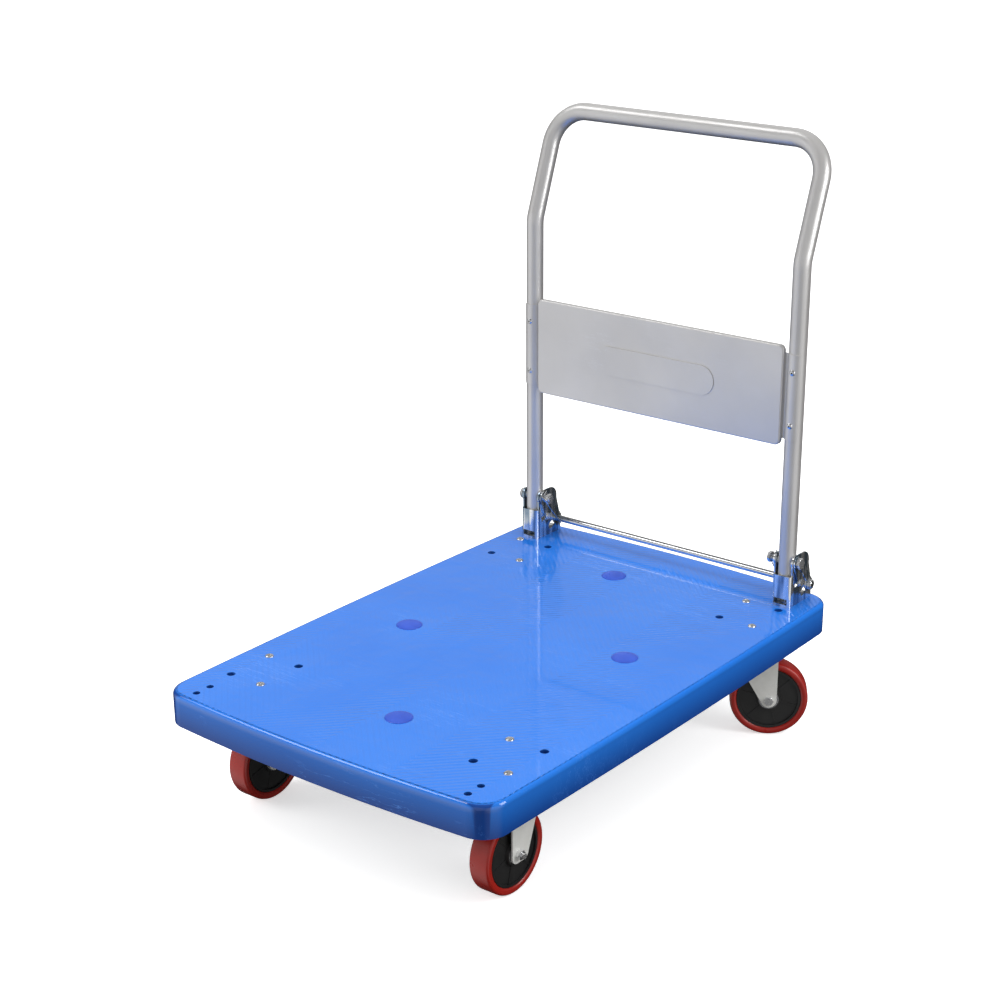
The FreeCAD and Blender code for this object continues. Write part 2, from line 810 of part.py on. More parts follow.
def make_bracket_bolt():
    seat = deck_top + bracket_sheet
    low = plate_top - bracket_bolt_tail
    head = rod(bracket_bolt_head_radius, Vector(0, 0, seat), Z, bracket_bolt_head_height)
    rim = [e for e in head.Edges if abs(e.BoundBox.ZMin - seat - bracket_bolt_head_height) < near]
    head = head.makeFillet(bracket_bolt_head_height * bracket_bolt_round_share, rim)
    return head.fuse(rod(bracket_bolt_radius, Vector(0, 0, low), Z, seat - low))


def make_bracket_washer():
    low = Vector(0, 0, plate_top - bracket_washer_height)
    bore = bracket_bolt_radius + bracket_bolt_play
    return ring(bracket_washer_radius, bore, low, Z, bracket_washer_height)


def make_bracket_nut():
    low = Vector(0, 0, plate_top - bracket_washer_height - bracket_nut_height)
    return nut(bracket_nut_flats, bracket_bolt_radius, low, Z, bracket_nut_height)


def spring_seat():
    """Where the return spring's coil starts, on the inner side of the hinge."""
    return -(link_outer + bead_rise + spring_side_gap)


def nut_face():
    """Where the pivot nut starts, past the far side of the coil."""
    return spring_seat() - spring_turns * spring_coil_step - spring_wire - spring_side_gap


def make_pivot_bolt():
    head_face = link_outer + pivot_head_gap
    head = hexagon(pivot_flats, pivot_point + X * head_face, X, pivot_head_height)
    tail = nut_face() - pivot_nut_height - pivot_past_nut
    shank = rod(pivot_radius, pivot_point + X * tail, X, head_face + sink - tail)
    return head.fuse(shank)


def make_pivot_nut():
    return nut(pivot_flats, pivot_radius, pivot_point + X * nut_face(), X * -1, pivot_nut_height)


def make_spring():
    """A torsion spring: a coil round the pivot bolt, a short leg beside the link and a long
    leg at the coil's far end, which runs down in front of the bar and leans away from the link."""
    mean = pivot_radius + spring_play + spring_wire / 2
    height = spring_coil_step * spring_turns
    coil = Part.makeHelix(spring_coil_step, height, mean, 0, True)
    rise = spring_coil_step / (2 * math.pi * mean)
    turn = Rotation(Z, -360.0 * spring_turns)
    start = Vector(mean, 0, 0)
    end = turn.multVec(start) + Z * height
    short_leg = Vector(0, 1, -rise).normalize() * spring_short_leg
    long_leg = turn.multVec(Vector(0, -1, rise)).normalize() * (bar_arm + spring_leg_past_bar)
    first = Part.LineSegment(start + short_leg, start).toShape()
    last = Part.LineSegment(end, end + long_leg).toShape()
    path = Part.Wire([first] + coil.Edges + [last])
    circle = Part.Wire(Part.makeCircle(spring_wire / 2, start + short_leg, short_leg))
    solid = path.makePipeShell([circle], True, True)
    across = X * -1
    along = (pivot_point - bar_point).normalize()
    lay = Rotation(along, across.cross(along), across, "ZXY")
    solid.Placement = Placement(pivot_point + X * (spring_seat() - spring_wire / 2), lay)
    return solid


# ---- handle

def handle_path():
    base = deck_top
    points = []
    for side in (-1, 1):
        x = side * hinge_x
        leg = [
            Vector(x, tube_y, base + tube_bottom),
            Vector(x, tube_y, base + knee_height),
            Vector(x, tube_y + lean_back, base + top_height),
        ]
        points += leg if side < 0 else leg[::-1]
    return rounded_outline(points, [knee_radius, top_corner_radius, top_corner_radius, knee_radius])


def make_handle_tube():
    path = handle_path()
    start = Vector(-hinge_x, tube_y, deck_top + tube_bottom)
    outer = path.makePipeShell([Part.Wire(Part.makeCircle(tube_radius, start, Z))], True, False)
    inner = path.makePipeShell([Part.Wire(Part.makeCircle(tube_bore, start, Z))], True, False)
    tube = outer.cut(inner)
    cuts = []
    for side in (-1, 1):
        place = pivot_point + X * (side * hinge_x - tube_radius - past)
        cuts.append(rod(bush_radius, place, X, 2 * (tube_radius + past)))
        for height in rivet_heights:
            spot = Vector(side * hinge_x, panel_back - past, deck_top + height)
            cuts.append(rod(rivet_radius, spot, Y, tube_radius))
    return tube.cut(cuts[0].multiFuse(cuts[1:]))


def make_bush():
    reach = cheek_inner - bush_end_gap
    return ring(bush_radius, pivot_radius + bush_play, pivot_point - X * reach, X, 2 * reach)


def make_plug():
    low = deck_top + tube_bottom - plug_flange
    flange = rod(tube_radius, Vector(0, tube_y, low), Z, plug_flange)
    stem = rod(tube_bore, Vector(0, tube_y, low), Z, plug_flange + plug_stem)
    hollow = rod(tube_bore - plug_wall, Vector(0, tube_y, low + plug_flange), Z, plug_stem + past)
    return flange.fuse(stem).cut(hollow)


def pan_block(inset, corner, bend, back):
    """The panel's outline as a solid with rounded corners and a rounded front edge."""
    x = hinge_x - tube_radius - panel_side_gap - inset
    front = panel_front + inset
    low = deck_top + panel_low + inset
    high = deck_top + panel_high - inset
    body = block(-x, x, front, back, low, high)
    corners = [e for e in body.Edges if e.BoundBox.XLength < near and e.BoundBox.ZLength < near]
    body = body.makeFillet(corner, corners)
    return body.makeFillet(bend, [e for e in body.Edges if e.BoundBox.YMax < front + near])


def tube_wrap(side, low, high):
    """The panel's wing: a web behind the front face, then a strip bent round the tube."""
    centre = Vector(side * hinge_x, tube_y, low)
    height = high - low
    reach = 2 * tube_radius
    inner_angle = math.acos((tube_y - hem_back) / tube_radius)
    turns = (-side * inner_angle, side * math.radians(panel_wrap_angle))
    first, last = [centre + Vector(math.sin(t), -math.cos(t), 0) * reach for t in turns]
    ahead = Y * -reach
    outline = [centre, first, first + ahead, last + ahead, last, centre]
    shell = ring(tube_radius + panel_sheet, tube_radius, centre, Z, height)
    strip = shell.common(Part.Face(Part.makePolygon(outline)).extrude(Z * height))
    root = side * (hinge_x - tube_radius - panel_side_gap - sink)
    a, b = sorted((root, side * hinge_x))
    web = block(a, b, hem_back - panel_sheet, hem_back, low, high)
    return [strip, web.cut(rod(tube_radius, centre, Z, height))]


def make_panel():
    low = deck_top + panel_low
    high = deck_top + panel_high
    shell = pan_block(0, panel_corner, panel_bend, hem_back)
    room = pan_block(panel_sheet, panel_corner - panel_sheet, panel_bend - panel_sheet, hem_back + past)
    hem_x = hinge_x - tube_radius - panel_side_gap - panel_corner
    pieces = []
    for edge, way in ((high, -1), (low, 1)):
        a, b = sorted((edge, edge + way * panel_hem_lip))
        pieces.append(block(-hem_x, hem_x, hem_back - panel_sheet, hem_back, a, b))
    for side in (-1, 1):
        pieces += tube_wrap(side, low + panel_flange_step, high - panel_flange_step)
    panel = shell.cut(room).multiFuse(pieces)
    middle = (low + high) / 2
    pad = swage(swage_width, swage_height, panel_front - swage_rise, swage_rise + sink, middle)
    pocket_width = swage_width - 2 * panel_sheet
    pocket_height = swage_height - 2 * panel_sheet
    pocket = swage(pocket_width, pocket_height, panel_back - swage_rise, swage_rise + past, middle)
    panel = panel.fuse(pad).cut(pocket)
    holes = []
    for side in (-1, 1):
        for height in rivet_heights:
            spot = Vector(side * hinge_x, panel_front - past, deck_top + height)
            holes.append(rod(rivet_radius, spot, Y, panel_sheet + 2 * past))
    return panel.cut(holes[0].multiFuse(holes[1:])).removeSplitter()


def swage(width, height, start_y, depth, middle_z):
    """A plain pressed field with rounded ends, used to stiffen the panel."""
    half = width / 2 - height / 2
    field = block(-half, half, start_y, start_y + depth, middle_z - height / 2, middle_z + height / 2)
    ends = [rod(height / 2, Vector(s * half, start_y, middle_z), Y, depth) for s in (-1, 1)]
    return field.multiFuse(ends).removeSplitter()


def make_rivet():
    """A blind rivet: a low dome seated on the wrap, and a bulb inside the tube."""
    wrap_radius = tube_radius + panel_sheet
    wrap_drop = wrap_radius - math.sqrt(wrap_radius ** 2 - rivet_head_radius ** 2)
    height = rivet_head_height + wrap_drop
    dome_radius = (rivet_head_radius ** 2 + height ** 2) / (2 * height)
    ball = Part.makeSphere(dome_radius, Vector(0, panel_front - rivet_head_height + dome_radius, 0))
    seat = Vector(0, panel_front + wrap_drop, 0)
    head = ball.common(rod(rivet_head_radius, seat, Y * -1, height + past))
    below = Vector(0, tube_y, -rivet_head_radius - past)
    head = head.cut(rod(wrap_radius + rivet_seat_gap, below, Z, 2 * (rivet_head_radius + past)))
    wall_inside = tube_y - math.sqrt(tube_bore ** 2 - rivet_bulb_radius ** 2)
    bulb_start = wall_inside + rivet_bulb_gap
    shank_start = panel_front - rivet_seat_gap - sink
    shank = rod(rivet_radius, Vector(0, shank_start, 0), Y, bulb_start + sink - shank_start)
    foot = Vector(0, bulb_start, 0)
    bulb = Part.makeCone(rivet_bulb_radius, rivet_radius, rivet_bulb_length, foot, Y)
    return head.multiFuse([shank, bulb])


# ---- release bar and its links

def make_bar():
    reach = hinge_x + link_outer + bar_past_link
    bar = rod(bar_radius, bar_point - X * reach, X, 2 * reach)
    ends = [e for e in bar.Edges if e.BoundBox.XLength < near]
    return bar.makeChamfer(bar_chamfer, ends)


def make_link(start, bead_way):
    """A pressed link from the pivot to the bar, with a side lobe for the lock pin."""
    shift = X * start
    a = pivot_point + shift
    b = bar_point + shift
    c = pin_point + shift
    arm = hull_of_two(a, link_pivot_pad, b, link_bar_pad, X, link_sheet)
    lobe = hull_of_two(a, link_pivot_pad, c, link_pin_pad, X, link_sheet)
    link = arm.fuse(lobe).removeSplitter()
    way = (b - a).normalize()
    from_a = a + way * (link_pivot_pad + bead_width)
    to_b = b - way * (bar_radius + bead_width + bead_end_gap)
    rise_start = X * (link_sheet - sink) if bead_way > 0 else X * -bead_rise
    half = bead_width / 2
    bead = hull_of_two(from_a + rise_start, half, to_b + rise_start, half, X, bead_rise + sink)
    clear = X * (bead_rise + past)
    deep = link_sheet + 2 * (bead_rise + past)
    holes = [
        rod(pivot_radius + link_play, a - clear, X, deep),
        rod(bar_radius, b - clear, X, deep),
        rod(pin_radius, c - clear, X, deep),
    ]
    return link.fuse(bead).cut(holes[0].multiFuse(holes[1:]))


def make_lock_pin(side):
    """A headed pin in a link, which rides in the bracket's curved slot."""
    way = X * side
    tip = pin_point + way * (cheek_inner + pin_inner_gap)
    shank = rod(pin_radius, tip, way, link_outer + sink - cheek_inner - pin_inner_gap)
    head = rod(pin_radius + pin_head_rim, pin_point + way * link_outer, way, pin_head_height)
    return shank.fuse(head)


def make_bar_washer():
    return ring(bar_radius + bar_washer_rim, bar_radius, bar_point + X * link_outer, X, bar_washer_height)


def make_bar_nut():
    face = bar_point + X * (link_outer + bar_washer_height)
    return nut(2 * (bar_radius + bar_nut_wall), bar_radius, face, X, bar_nut_height)


# ---- build every piece

def both_hinges(shape):
    """Copies of a hinge piece for the left and right side, the left one mirrored."""
    right = shape.copy()
    right.translate(X * hinge_x)
    return [mirrored(right), right]


def at_places(shape, places):
    copies = []
    for x, y in places:
        copy = shape.copy()
        copy.translate(Vector(x, y, 0))
        copies.append(copy)
    return copies


def build_deck():
    save("deck", make_deck())
    save("deck_caps", at_places(make_cap(), cap_places))
    save("caster_screws", at_places(make_screw(), caster_holes(-1)))
    save("caster_washers", at_places(make_caster_washer(), caster_holes(-1)))
    save("caster_nuts", at_places(make_caster_nut(), caster_holes(-1)))


def build_hinges():
    left, right = both_hinges(make_bracket())
    save("hinge_bracket_left", left)
    save("hinge_bracket_right", right)
    save("bracket_bolts", at_places(make_bracket_bolt(), bracket_bolt_places(1)))
    save("bracket_washers", at_places(make_bracket_washer(), bracket_bolt_places(1)))
    save("bracket_nuts", at_places(make_bracket_nut(), bracket_bolt_places(1)))
    save("pivot_bolts", both_hinges(make_pivot_bolt()))
    save("pivot_nuts", both_hinges(make_pivot_nut()))
    left, right = both_hinges(make_spring())
    save("return_spring_left", left)
    save("return_spring_right", right)


def build_handle():
    save("handle_tube", make_handle_tube())
    save("handle_panel", make_panel())
    rivets = []
    for side in (-1, 1):
        for height in rivet_heights:
            rivet = make_rivet()
            rivet.translate(Vector(side * hinge_x, 0, deck_top + height))
            rivets.append(rivet)
    save("panel_rivets", rivets)
    save("pivot_bushes", both_hinges(make_bush()))
    save("tube_plugs", both_hinges(make_plug()))


def build_release_bar():
    save("release_bar", make_bar())
    outer = both_hinges(make_link(link_inner, 1))
    inner = both_hinges(make_link(-link_outer, -1))
    for i, side in enumerate(("left", "right")):
        save("release_link_outer_" + side, outer[i])
        save("release_link_inner_" + side, inner[i])
    save("lock_pins", both_hinges(make_lock_pin(1)) + both_hinges(make_lock_pin(-1)))
    save("bar_end_washers", both_hinges(make_bar_washer()))
    save("bar_end_nuts", both_hinges(make_bar_nut()))


def build_wheel(name, axle_x, angle, x, y):
    save("tyre_" + name, placed(wheel_at(make_tyre(), axle_x), angle, x, y))
    save("core_" + name, placed(wheel_at(make_core(), axle_x), angle, x, y))
    save("bearings_" + name, [placed(wheel_at(b, axle_x), angle, x, y) for b in make_bearings()])


def build_rigid_casters():
    angle = -90.0
    offset = rigid_axle_offset
    bolts, sleeves, nuts = [], [], []
    for side, name in ((-1, "left"), (1, "right")):
        x, y = side * caster_x, -caster_y
        save("rigid_fork_" + name, placed(make_rigid_fork(), angle, x, y))
        bolts.append(placed(make_axle_bolt(offset, -side), angle, x, y))
        sleeves.append(placed(make_sleeve(offset), angle, x, y))
        nuts.append(placed(make_axle_nut(offset, -side), angle, x, y))
        build_wheel("front_" + name, offset, angle, x, y)
    save("rigid_axle_bolts", bolts)
    save("rigid_axle_sleeves", sleeves)
    save("rigid_axle_nuts", nuts)


def build_swivel_casters():
    pins, washers, nuts, balls = [], [], [], []
    for side, name in ((-1, "left"), (1, "right")):
        x, y = side * caster_x, caster_y
        angle = swivel_angle if side > 0 else 180.0 - swivel_angle
        save("swivel_plate_" + name, placed(make_swivel_plate(), 0, x, y))
        pins.append(placed(make_kingpin(), 0, x, y))
        washers.append(placed(make_kingpin_washer(), 0, x, y))
        nuts.append(placed(make_kingpin_nut(), 0, x, y))
        balls += [placed(b, 0, x, y) for b in make_balls()]
        save("swivel_fork_" + name, placed(make_swivel_fork(), angle, x, y))
        save("swivel_axle_bolt_" + name, placed(make_axle_bolt(trail, -side), angle, x, y))
        save("swivel_axle_sleeve_" + name, placed(make_sleeve(trail), angle, x, y))
        save("swivel_axle_nut_" + name, placed(make_axle_nut(trail, -side), angle, x, y))
        build_wheel("rear_" + name, trail, angle, x, y)
    save("kingpins", pins)
    save("kingpin_washers", washers)
    save("kingpin_nuts", nuts)
    save("swivel_balls", balls)


os.makedirs("parts", exist_ok=True)
build_deck()
build_hinges()
build_handle()
build_release_bar()
build_rigid_casters()
build_swivel_casters()
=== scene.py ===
import json
import math

import bpy
from mathutils import Matrix, Vector


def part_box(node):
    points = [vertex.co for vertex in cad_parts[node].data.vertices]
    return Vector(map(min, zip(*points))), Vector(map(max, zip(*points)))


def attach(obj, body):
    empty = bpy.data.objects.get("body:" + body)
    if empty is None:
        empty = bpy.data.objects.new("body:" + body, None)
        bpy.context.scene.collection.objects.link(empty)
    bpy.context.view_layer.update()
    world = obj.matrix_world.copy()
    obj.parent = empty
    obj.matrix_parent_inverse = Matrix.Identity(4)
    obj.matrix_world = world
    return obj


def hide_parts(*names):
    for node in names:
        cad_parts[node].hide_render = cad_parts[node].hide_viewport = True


# A folding platform cart. Metres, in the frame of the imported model: the origin is on the floor
# under the middle of the deck, +Y points to the handle, +X to the right and +Z up.

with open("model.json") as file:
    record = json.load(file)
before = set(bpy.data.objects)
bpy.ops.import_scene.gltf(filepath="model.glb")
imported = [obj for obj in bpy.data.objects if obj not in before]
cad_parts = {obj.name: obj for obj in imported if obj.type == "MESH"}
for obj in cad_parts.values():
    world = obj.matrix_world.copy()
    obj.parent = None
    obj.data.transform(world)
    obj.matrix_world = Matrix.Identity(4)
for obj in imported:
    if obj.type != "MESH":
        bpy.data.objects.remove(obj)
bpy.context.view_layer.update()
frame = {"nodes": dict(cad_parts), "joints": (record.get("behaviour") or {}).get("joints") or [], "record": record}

MM = 0.001
CORNERS = ("front_left", "front_right", "rear_left", "rear_right")

# ---- camera, floor and light

CAMERA_PLACE = (1.7202, -2.2106, 1.4459)
CAMERA_TURN = (67.979, -0.232, 36.811)
CAMERA_LENS = 72.0
CAMERA_SHIFT = (-0.0528, 0.0743)

ROOM_HIGH = 1.0
ROOM_LOW = 0.12
ROOM_DARK = 0.03
# heights of the look direction between which the plain room goes from low to high
ROOM_FLOOR_EDGE = -0.1
ROOM_CEILING_EDGE = 0.3
# soft panels that mirrors see: where they are, the cosines where they are full and gone, brightness
ROOM_PANELS = (
    ((-0.62, -0.75, -0.30), 0.92, 0.60, 0.85),
    ((0.95, -0.20, -0.10), 0.93, 0.72, 0.75),
    ((-0.60, 0.75, 0.40), 0.97, 0.80, 0.34),
    ((0.30, -0.90, 0.10), 0.98, 0.75, 0.45),
    ((0.10, 0.10, 1.00), 0.95, 0.60, 0.12),
    ((-0.60, -0.35, 0.75), 0.995, 0.968, 5.0),
)

# name, place, point it faces, size, power in watts, whether mirrors show it
SOFTBOXES = (
    ("overhead_softbox", (-0.9, 0.5, 3.4), (0, 0, 0.3), (3.0, 3.0), 50.0, False),
    ("left_softbox", (-1.5, -1.4, 0.95), (0, 0.2, 0.5), (1.0, 1.0), 14.0, False),
    ("right_softbox", (1.9, 0.6, 1.25), (0.2, 0.2, 0.4), (0.9, 1.1), 16.0, True),
)
FLOOR_REACH = 40.0
FLOOR_GLOW = 0.55


def add_camera():
    data = bpy.data.cameras.new("studio_camera")
    data.sensor_width = 36.0
    data.lens = CAMERA_LENS
    data.shift_x, data.shift_y = CAMERA_SHIFT
    camera = bpy.data.objects.new("studio_camera", data)
    camera.location = CAMERA_PLACE
    camera.rotation_euler = [math.radians(a) for a in CAMERA_TURN]
    bpy.context.scene.collection.objects.link(camera)
    bpy.context.scene.camera = camera


def add_softbox(name, place, aim, size, power, mirrored):
    data = bpy.data.lights.new(name, "AREA")
    data.shape = "RECTANGLE"
    data.size, data.size_y = size
    data.energy = power
    light = bpy.data.objects.new(name, data)
    light.location = place
    direction = Vector(aim) - Vector(place)
    light.rotation_euler = direction.to_track_quat("-Z", "Y").to_euler()
    light.visible_camera = False
    light.visible_glossy = mirrored
    bpy.context.scene.collection.objects.link(light)


def add_world():
    """Soft light from above for plain surfaces, soft panels for mirrors, and a white backdrop."""
    world = bpy.data.worlds.new("studio_room")
    bpy.context.scene.world = world
    world.use_nodes = True
    tree = world.node_tree
    tree.nodes.clear()
    out = tree.nodes.new("ShaderNodeOutputWorld")
    coords = tree.nodes.new("ShaderNodeTexCoord")
    way = coords.outputs["Generated"]
    parts = tree.nodes.new("ShaderNodeSeparateXYZ")
    tree.links.new(way, parts.inputs["Vector"])
    glow = None
    for toward, inner, outer, tone in ROOM_PANELS:
        along = tree.nodes.new("ShaderNodeVectorMath")
        along.operation = "DOT_PRODUCT"
        along.inputs[1].default_value = Vector(toward).normalized()
        tree.links.new(way, along.inputs[0])
        lobe = remap(tree, along.outputs["Value"], outer, inner, 0.0, tone)
        glow = lobe if glow is None else math_node(tree, "MAXIMUM", glow, lobe)
    mirrored = tree.nodes.new("ShaderNodeBackground")
    tree.links.new(math_node(tree, "ADD", glow, ROOM_DARK), mirrored.inputs["Color"])
    plain = tree.nodes.new("ShaderNodeBackground")
    ramp = remap(tree, parts.outputs["Z"], ROOM_FLOOR_EDGE, ROOM_CEILING_EDGE, ROOM_LOW, ROOM_HIGH)
    tree.links.new(ramp, plain.inputs["Color"])
    path = tree.nodes.new("ShaderNodeLightPath")
    choose = tree.nodes.new("ShaderNodeMixShader")
    tree.links.new(path.outputs["Is Glossy Ray"], choose.inputs[0])
    tree.links.new(plain.outputs[0], choose.inputs[1])
    tree.links.new(mirrored.outputs[0], choose.inputs[2])
    seen = tree.nodes.new("ShaderNodeBackground")
    seen.inputs["Color"].default_value = (1.0, 1.0, 1.0, 1.0)
    behind = tree.nodes.new("ShaderNodeMixShader")
    tree.links.new(path.outputs["Is Camera Ray"], behind.inputs[0])
    tree.links.new(choose.outputs[0], behind.inputs[1])
    tree.links.new(seen.outputs[0], behind.inputs[2])
    tree.links.new(behind.outputs[0], out.inputs["Surface"])


# ---- node helpers

def group_node(tree, group, **values):
    node = tree.nodes.new("ShaderNodeGroup")
    node.node_tree = group
    for label, value in values.items():
        node.inputs[label.replace("_", " ")].default_value = value
    return node


def math_node(tree, operation, a, b=None, clamp=False):
    """A math node whose inputs are sockets or plain numbers."""
    node = tree.nodes.new("ShaderNodeMath")
    node.operation = operation
    node.use_clamp = clamp
    for slot, value in enumerate((a, b)):
        if value is None:
            continue
        if isinstance(value, (int, float)):
            node.inputs[slot].default_value = value
        else:
            tree.links.new(value, node.inputs[slot])
    return node.outputs[0]


def new_group(name, inputs, outputs):
    """A shader node group with named sockets. Each input is (label, kind, value)."""
    tree = bpy.data.node_groups.new(name, "ShaderNodeTree")
    for label, kind, value in inputs:
        socket = tree.interface.new_socket(label, in_out="INPUT", socket_type="NodeSocket" + kind)
        if value is not None:
            socket.default_value = value
    for label, kind in outputs:
        tree.interface.new_socket(label, in_out="OUTPUT", socket_type="NodeSocket" + kind)
    start = tree.nodes.new("NodeGroupInput")
    end = tree.nodes.new("NodeGroupOutput")
    return tree, start, end


def noise(tree, vector, scale, detail=3.0, roughness=0.5):
    node = tree.nodes.new("ShaderNodeTexNoise")
    node.inputs["Detail"].default_value = detail
    node.inputs["Roughness"].default_value = roughness
    tree.links.new(vector, node.inputs["Vector"])
    if isinstance(scale, (int, float)):
        node.inputs["Scale"].default_value = scale
    else:
        tree.links.new(scale, node.inputs["Scale"])
    return node.outputs["Fac"]


def remap(tree, value, low, high, to_low=0.0, to_high=1.0):
    node = tree.nodes.new("ShaderNodeMapRange")
    for label, number in (("From Min", low), ("From Max", high), ("To Min", to_low), ("To Max", to_high)):
        node.inputs[label].default_value = number
    tree.links.new(value, node.inputs["Value"])
    return node.outputs["Result"]


# ---- shared effects

DECK_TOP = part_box("deck")[1].z
DECK_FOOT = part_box("deck")[0].z
DECK_HALF = (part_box("deck")[1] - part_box("deck")[0]) / 2
# heights between which the marks of the deck's top face fade in
TOP_BAND = (DECK_TOP - 0.6 * MM, DECK_TOP - 0.1 * MM)
# heights between which the polished top face and its round give way to the duller skirt
GLOSS_BAND = (DECK_TOP - 14 * MM, DECK_TOP - 8 * MM)
# heights between which a bore or a rib counts as below the top face
BELOW_TOP_BAND = (DECK_TOP - 1.5 * MM, DECK_TOP - 0.5 * MM)
# how far in from the deck's outside the skirt ends and its inside begins
SKIRT_INSET = 12 * MM
SKIRT_FADE = 2 * MM
FOOT_SHADE_SHARE = 0.9


def build_foot_shade():
    """Painted shade on the deck: darker towards the foot of its skirt, and in bores and between ribs."""
    tree, start, end = new_group("foot_shade", [("Vector", "Vector", None)],
                                 [("Shade", "Float"), ("Top", "Float")])
    parts = tree.nodes.new("ShaderNodeSeparateXYZ")
    tree.links.new(start.outputs["Vector"], parts.inputs["Vector"])
    rise = (DECK_TOP - DECK_FOOT) * FOOT_SHADE_SHARE
    foot = remap(tree, parts.outputs["Z"], DECK_FOOT, DECK_FOOT + rise, 1.0, 0.0)
    # painted shade also goes into the bores and between the ribs
    # bores and the ribs underneath lie inside the skirt and below the top face
    inside = remap(tree, parts.outputs["Z"], *BELOW_TOP_BAND, 1.0, 0.0)
    for axis, half in (("X", DECK_HALF.x), ("Y", DECK_HALF.y)):
        away = math_node(tree, "ABSOLUTE", parts.outputs[axis])
        edge = half - SKIRT_INSET
        within = remap(tree, away, edge - SKIRT_FADE, edge, 1.0, 0.0)
        inside = math_node(tree, "MULTIPLY", inside, within)
    tree.links.new(math_node(tree, "MAXIMUM", foot, inside), end.inputs["Shade"])
    tree.links.new(remap(tree, parts.outputs["Z"], *GLOSS_BAND), end.inputs["Top"])
    return tree


def build_ripples():
    """Slow waves left in a large moulded face as it cools."""
    tree, start, end = new_group(
        "cooling_ripples",
        [("Vector", "Vector", None), ("Ripple Scale", "Float", 16.0)],
        [("Height", "Float")],
    )
    parts = tree.nodes.new("ShaderNodeSeparateXYZ")
    tree.links.new(start.outputs["Vector"], parts.inputs["Vector"])
    slow = noise(tree, start.outputs["Vector"], start.outputs["Ripple Scale"], 2.0, 0.45)
    on_top = remap(tree, parts.outputs["Z"], *TOP_BAND)
    tree.links.new(math_node(tree, "MULTIPLY", slow, on_top), end.inputs["Height"])
    return tree


def build_grain():
    """Fine surface grain with a slow mottle, for moulded and coated surfaces."""
    tree, start, end = new_group(
        "surface_grain",
        [("Vector", "Vector", None), ("Grain Scale", "Float", 900.0), ("Mottle Scale", "Float", 9.0)],
        [("Height", "Float"), ("Mottle", "Float")],
    )
    fine = noise(tree, start.outputs["Vector"], start.outputs["Grain Scale"], 2.0)
    slow = noise(tree, start.outputs["Vector"], start.outputs["Mottle Scale"], 4.0)
    tree.links.new(fine, end.inputs["Height"])
    tree.links.new(remap(tree, slow, 0.3, 0.7), end.inputs["Mottle"])
    return tree


def build_scuffs():
    """Thin scratches that run two ways, and soft handling smudges."""
    tree, start, end = new_group(
        "handling_scuffs",
        [("Vector", "Vector", None), ("Scratch Scale", "Float", 30.0), ("Smudge Scale", "Float", 14.0)],
        [("Scratches", "Float"), ("Smudges", "Float")],
    )
    lines = []
    for turn in (0.4, 2.1):
        mapping = tree.nodes.new("ShaderNodeMapping")
        mapping.inputs["Rotation"].default_value = (0.2, 0.3, turn)
        mapping.inputs["Scale"].default_value = (0.06, 1.0, 0.5)
        tree.links.new(start.outputs["Vector"], mapping.inputs["Vector"])
        streak = noise(tree, mapping.outputs["Vector"], start.outputs["Scratch Scale"], 6.0, 0.7)
        off = math_node(tree, "ABSOLUTE", math_node(tree, "SUBTRACT", streak, 0.5))
        lines.append(remap(tree, off, 0.0, 0.006, 1.0, 0.0))
    patch = noise(tree, start.outputs["Vector"], start.outputs["Smudge Scale"], 5.0, 0.6)
    gate = remap(tree, patch, 0.52, 0.66)
    both = math_node(tree, "MAXIMUM", lines[0], lines[1])
    tree.links.new(math_node(tree, "MULTIPLY", both, gate), end.inputs["Scratches"])
    tree.links.new(remap(tree, patch, 0.35, 0.7), end.inputs["Smudges"])
    return tree


def build_chevrons():
    """Shallow anti-slip lines at 45 degrees that turn back on themselves in long rows."""
    tree, start, end = new_group(
        "chevron_lines",
        [("Vector", "Vector", None), ("Pitch", "Float", 0.012), ("Row", "Float", 0.13)],
        [("Height", "Float")],
    )
    parts = tree.nodes.new("ShaderNodeSeparateXYZ")
    tree.links.new(start.outputs["Vector"], parts.inputs["Vector"])
    folded = math_node(tree, "PINGPONG", parts.outputs["X"], start.outputs["Row"])
    along = math_node(tree, "ADD", parts.outputs["Y"], folded)
    turns = math_node(tree, "DIVIDE", along, start.outputs["Pitch"])
    wave = math_node(tree, "SINE", math_node(tree, "MULTIPLY", turns, 2 * math.pi))
    patches = noise(tree, start.outputs["Vector"], 3.2, 1.0)
    shown = remap(tree, patches, 0.38, 0.52)
    on_top = remap(tree, parts.outputs["Z"], *TOP_BAND)
    shown = math_node(tree, "MULTIPLY", shown, on_top)
    tree.links.new(math_node(tree, "MULTIPLY", wave, shown), end.inputs["Height"])
    return tree


def build_rib_marks():
    """Faint raised lines in the top face of a moulded plate, over the ribs below it."""
    tree, start, end = new_group(
        "rib_marks",
        [("Vector", "Vector", None), ("Pitch X", "Float", 0.062), ("Pitch Y", "Float", 0.066)],
        [("Height", "Float")],
    )
    parts = tree.nodes.new("ShaderNodeSeparateXYZ")
    tree.links.new(start.outputs["Vector"], parts.inputs["Vector"])
    lines = []
    for axis, pitch in (("X", "Pitch X"), ("Y", "Pitch Y")):
        half = math_node(tree, "DIVIDE", start.outputs[pitch], 2.0)
        away = math_node(tree, "PINGPONG", parts.outputs[axis], half)
        lines.append(remap(tree, away, 0.0, 0.009, 1.0, 0.0))
    on_top = remap(tree, parts.outputs["Z"], *TOP_BAND)
    raised = math_node(tree, "MAXIMUM", *lines)
    tree.links.new(math_node(tree, "MULTIPLY", raised, on_top), end.inputs["Height"])
    return tree


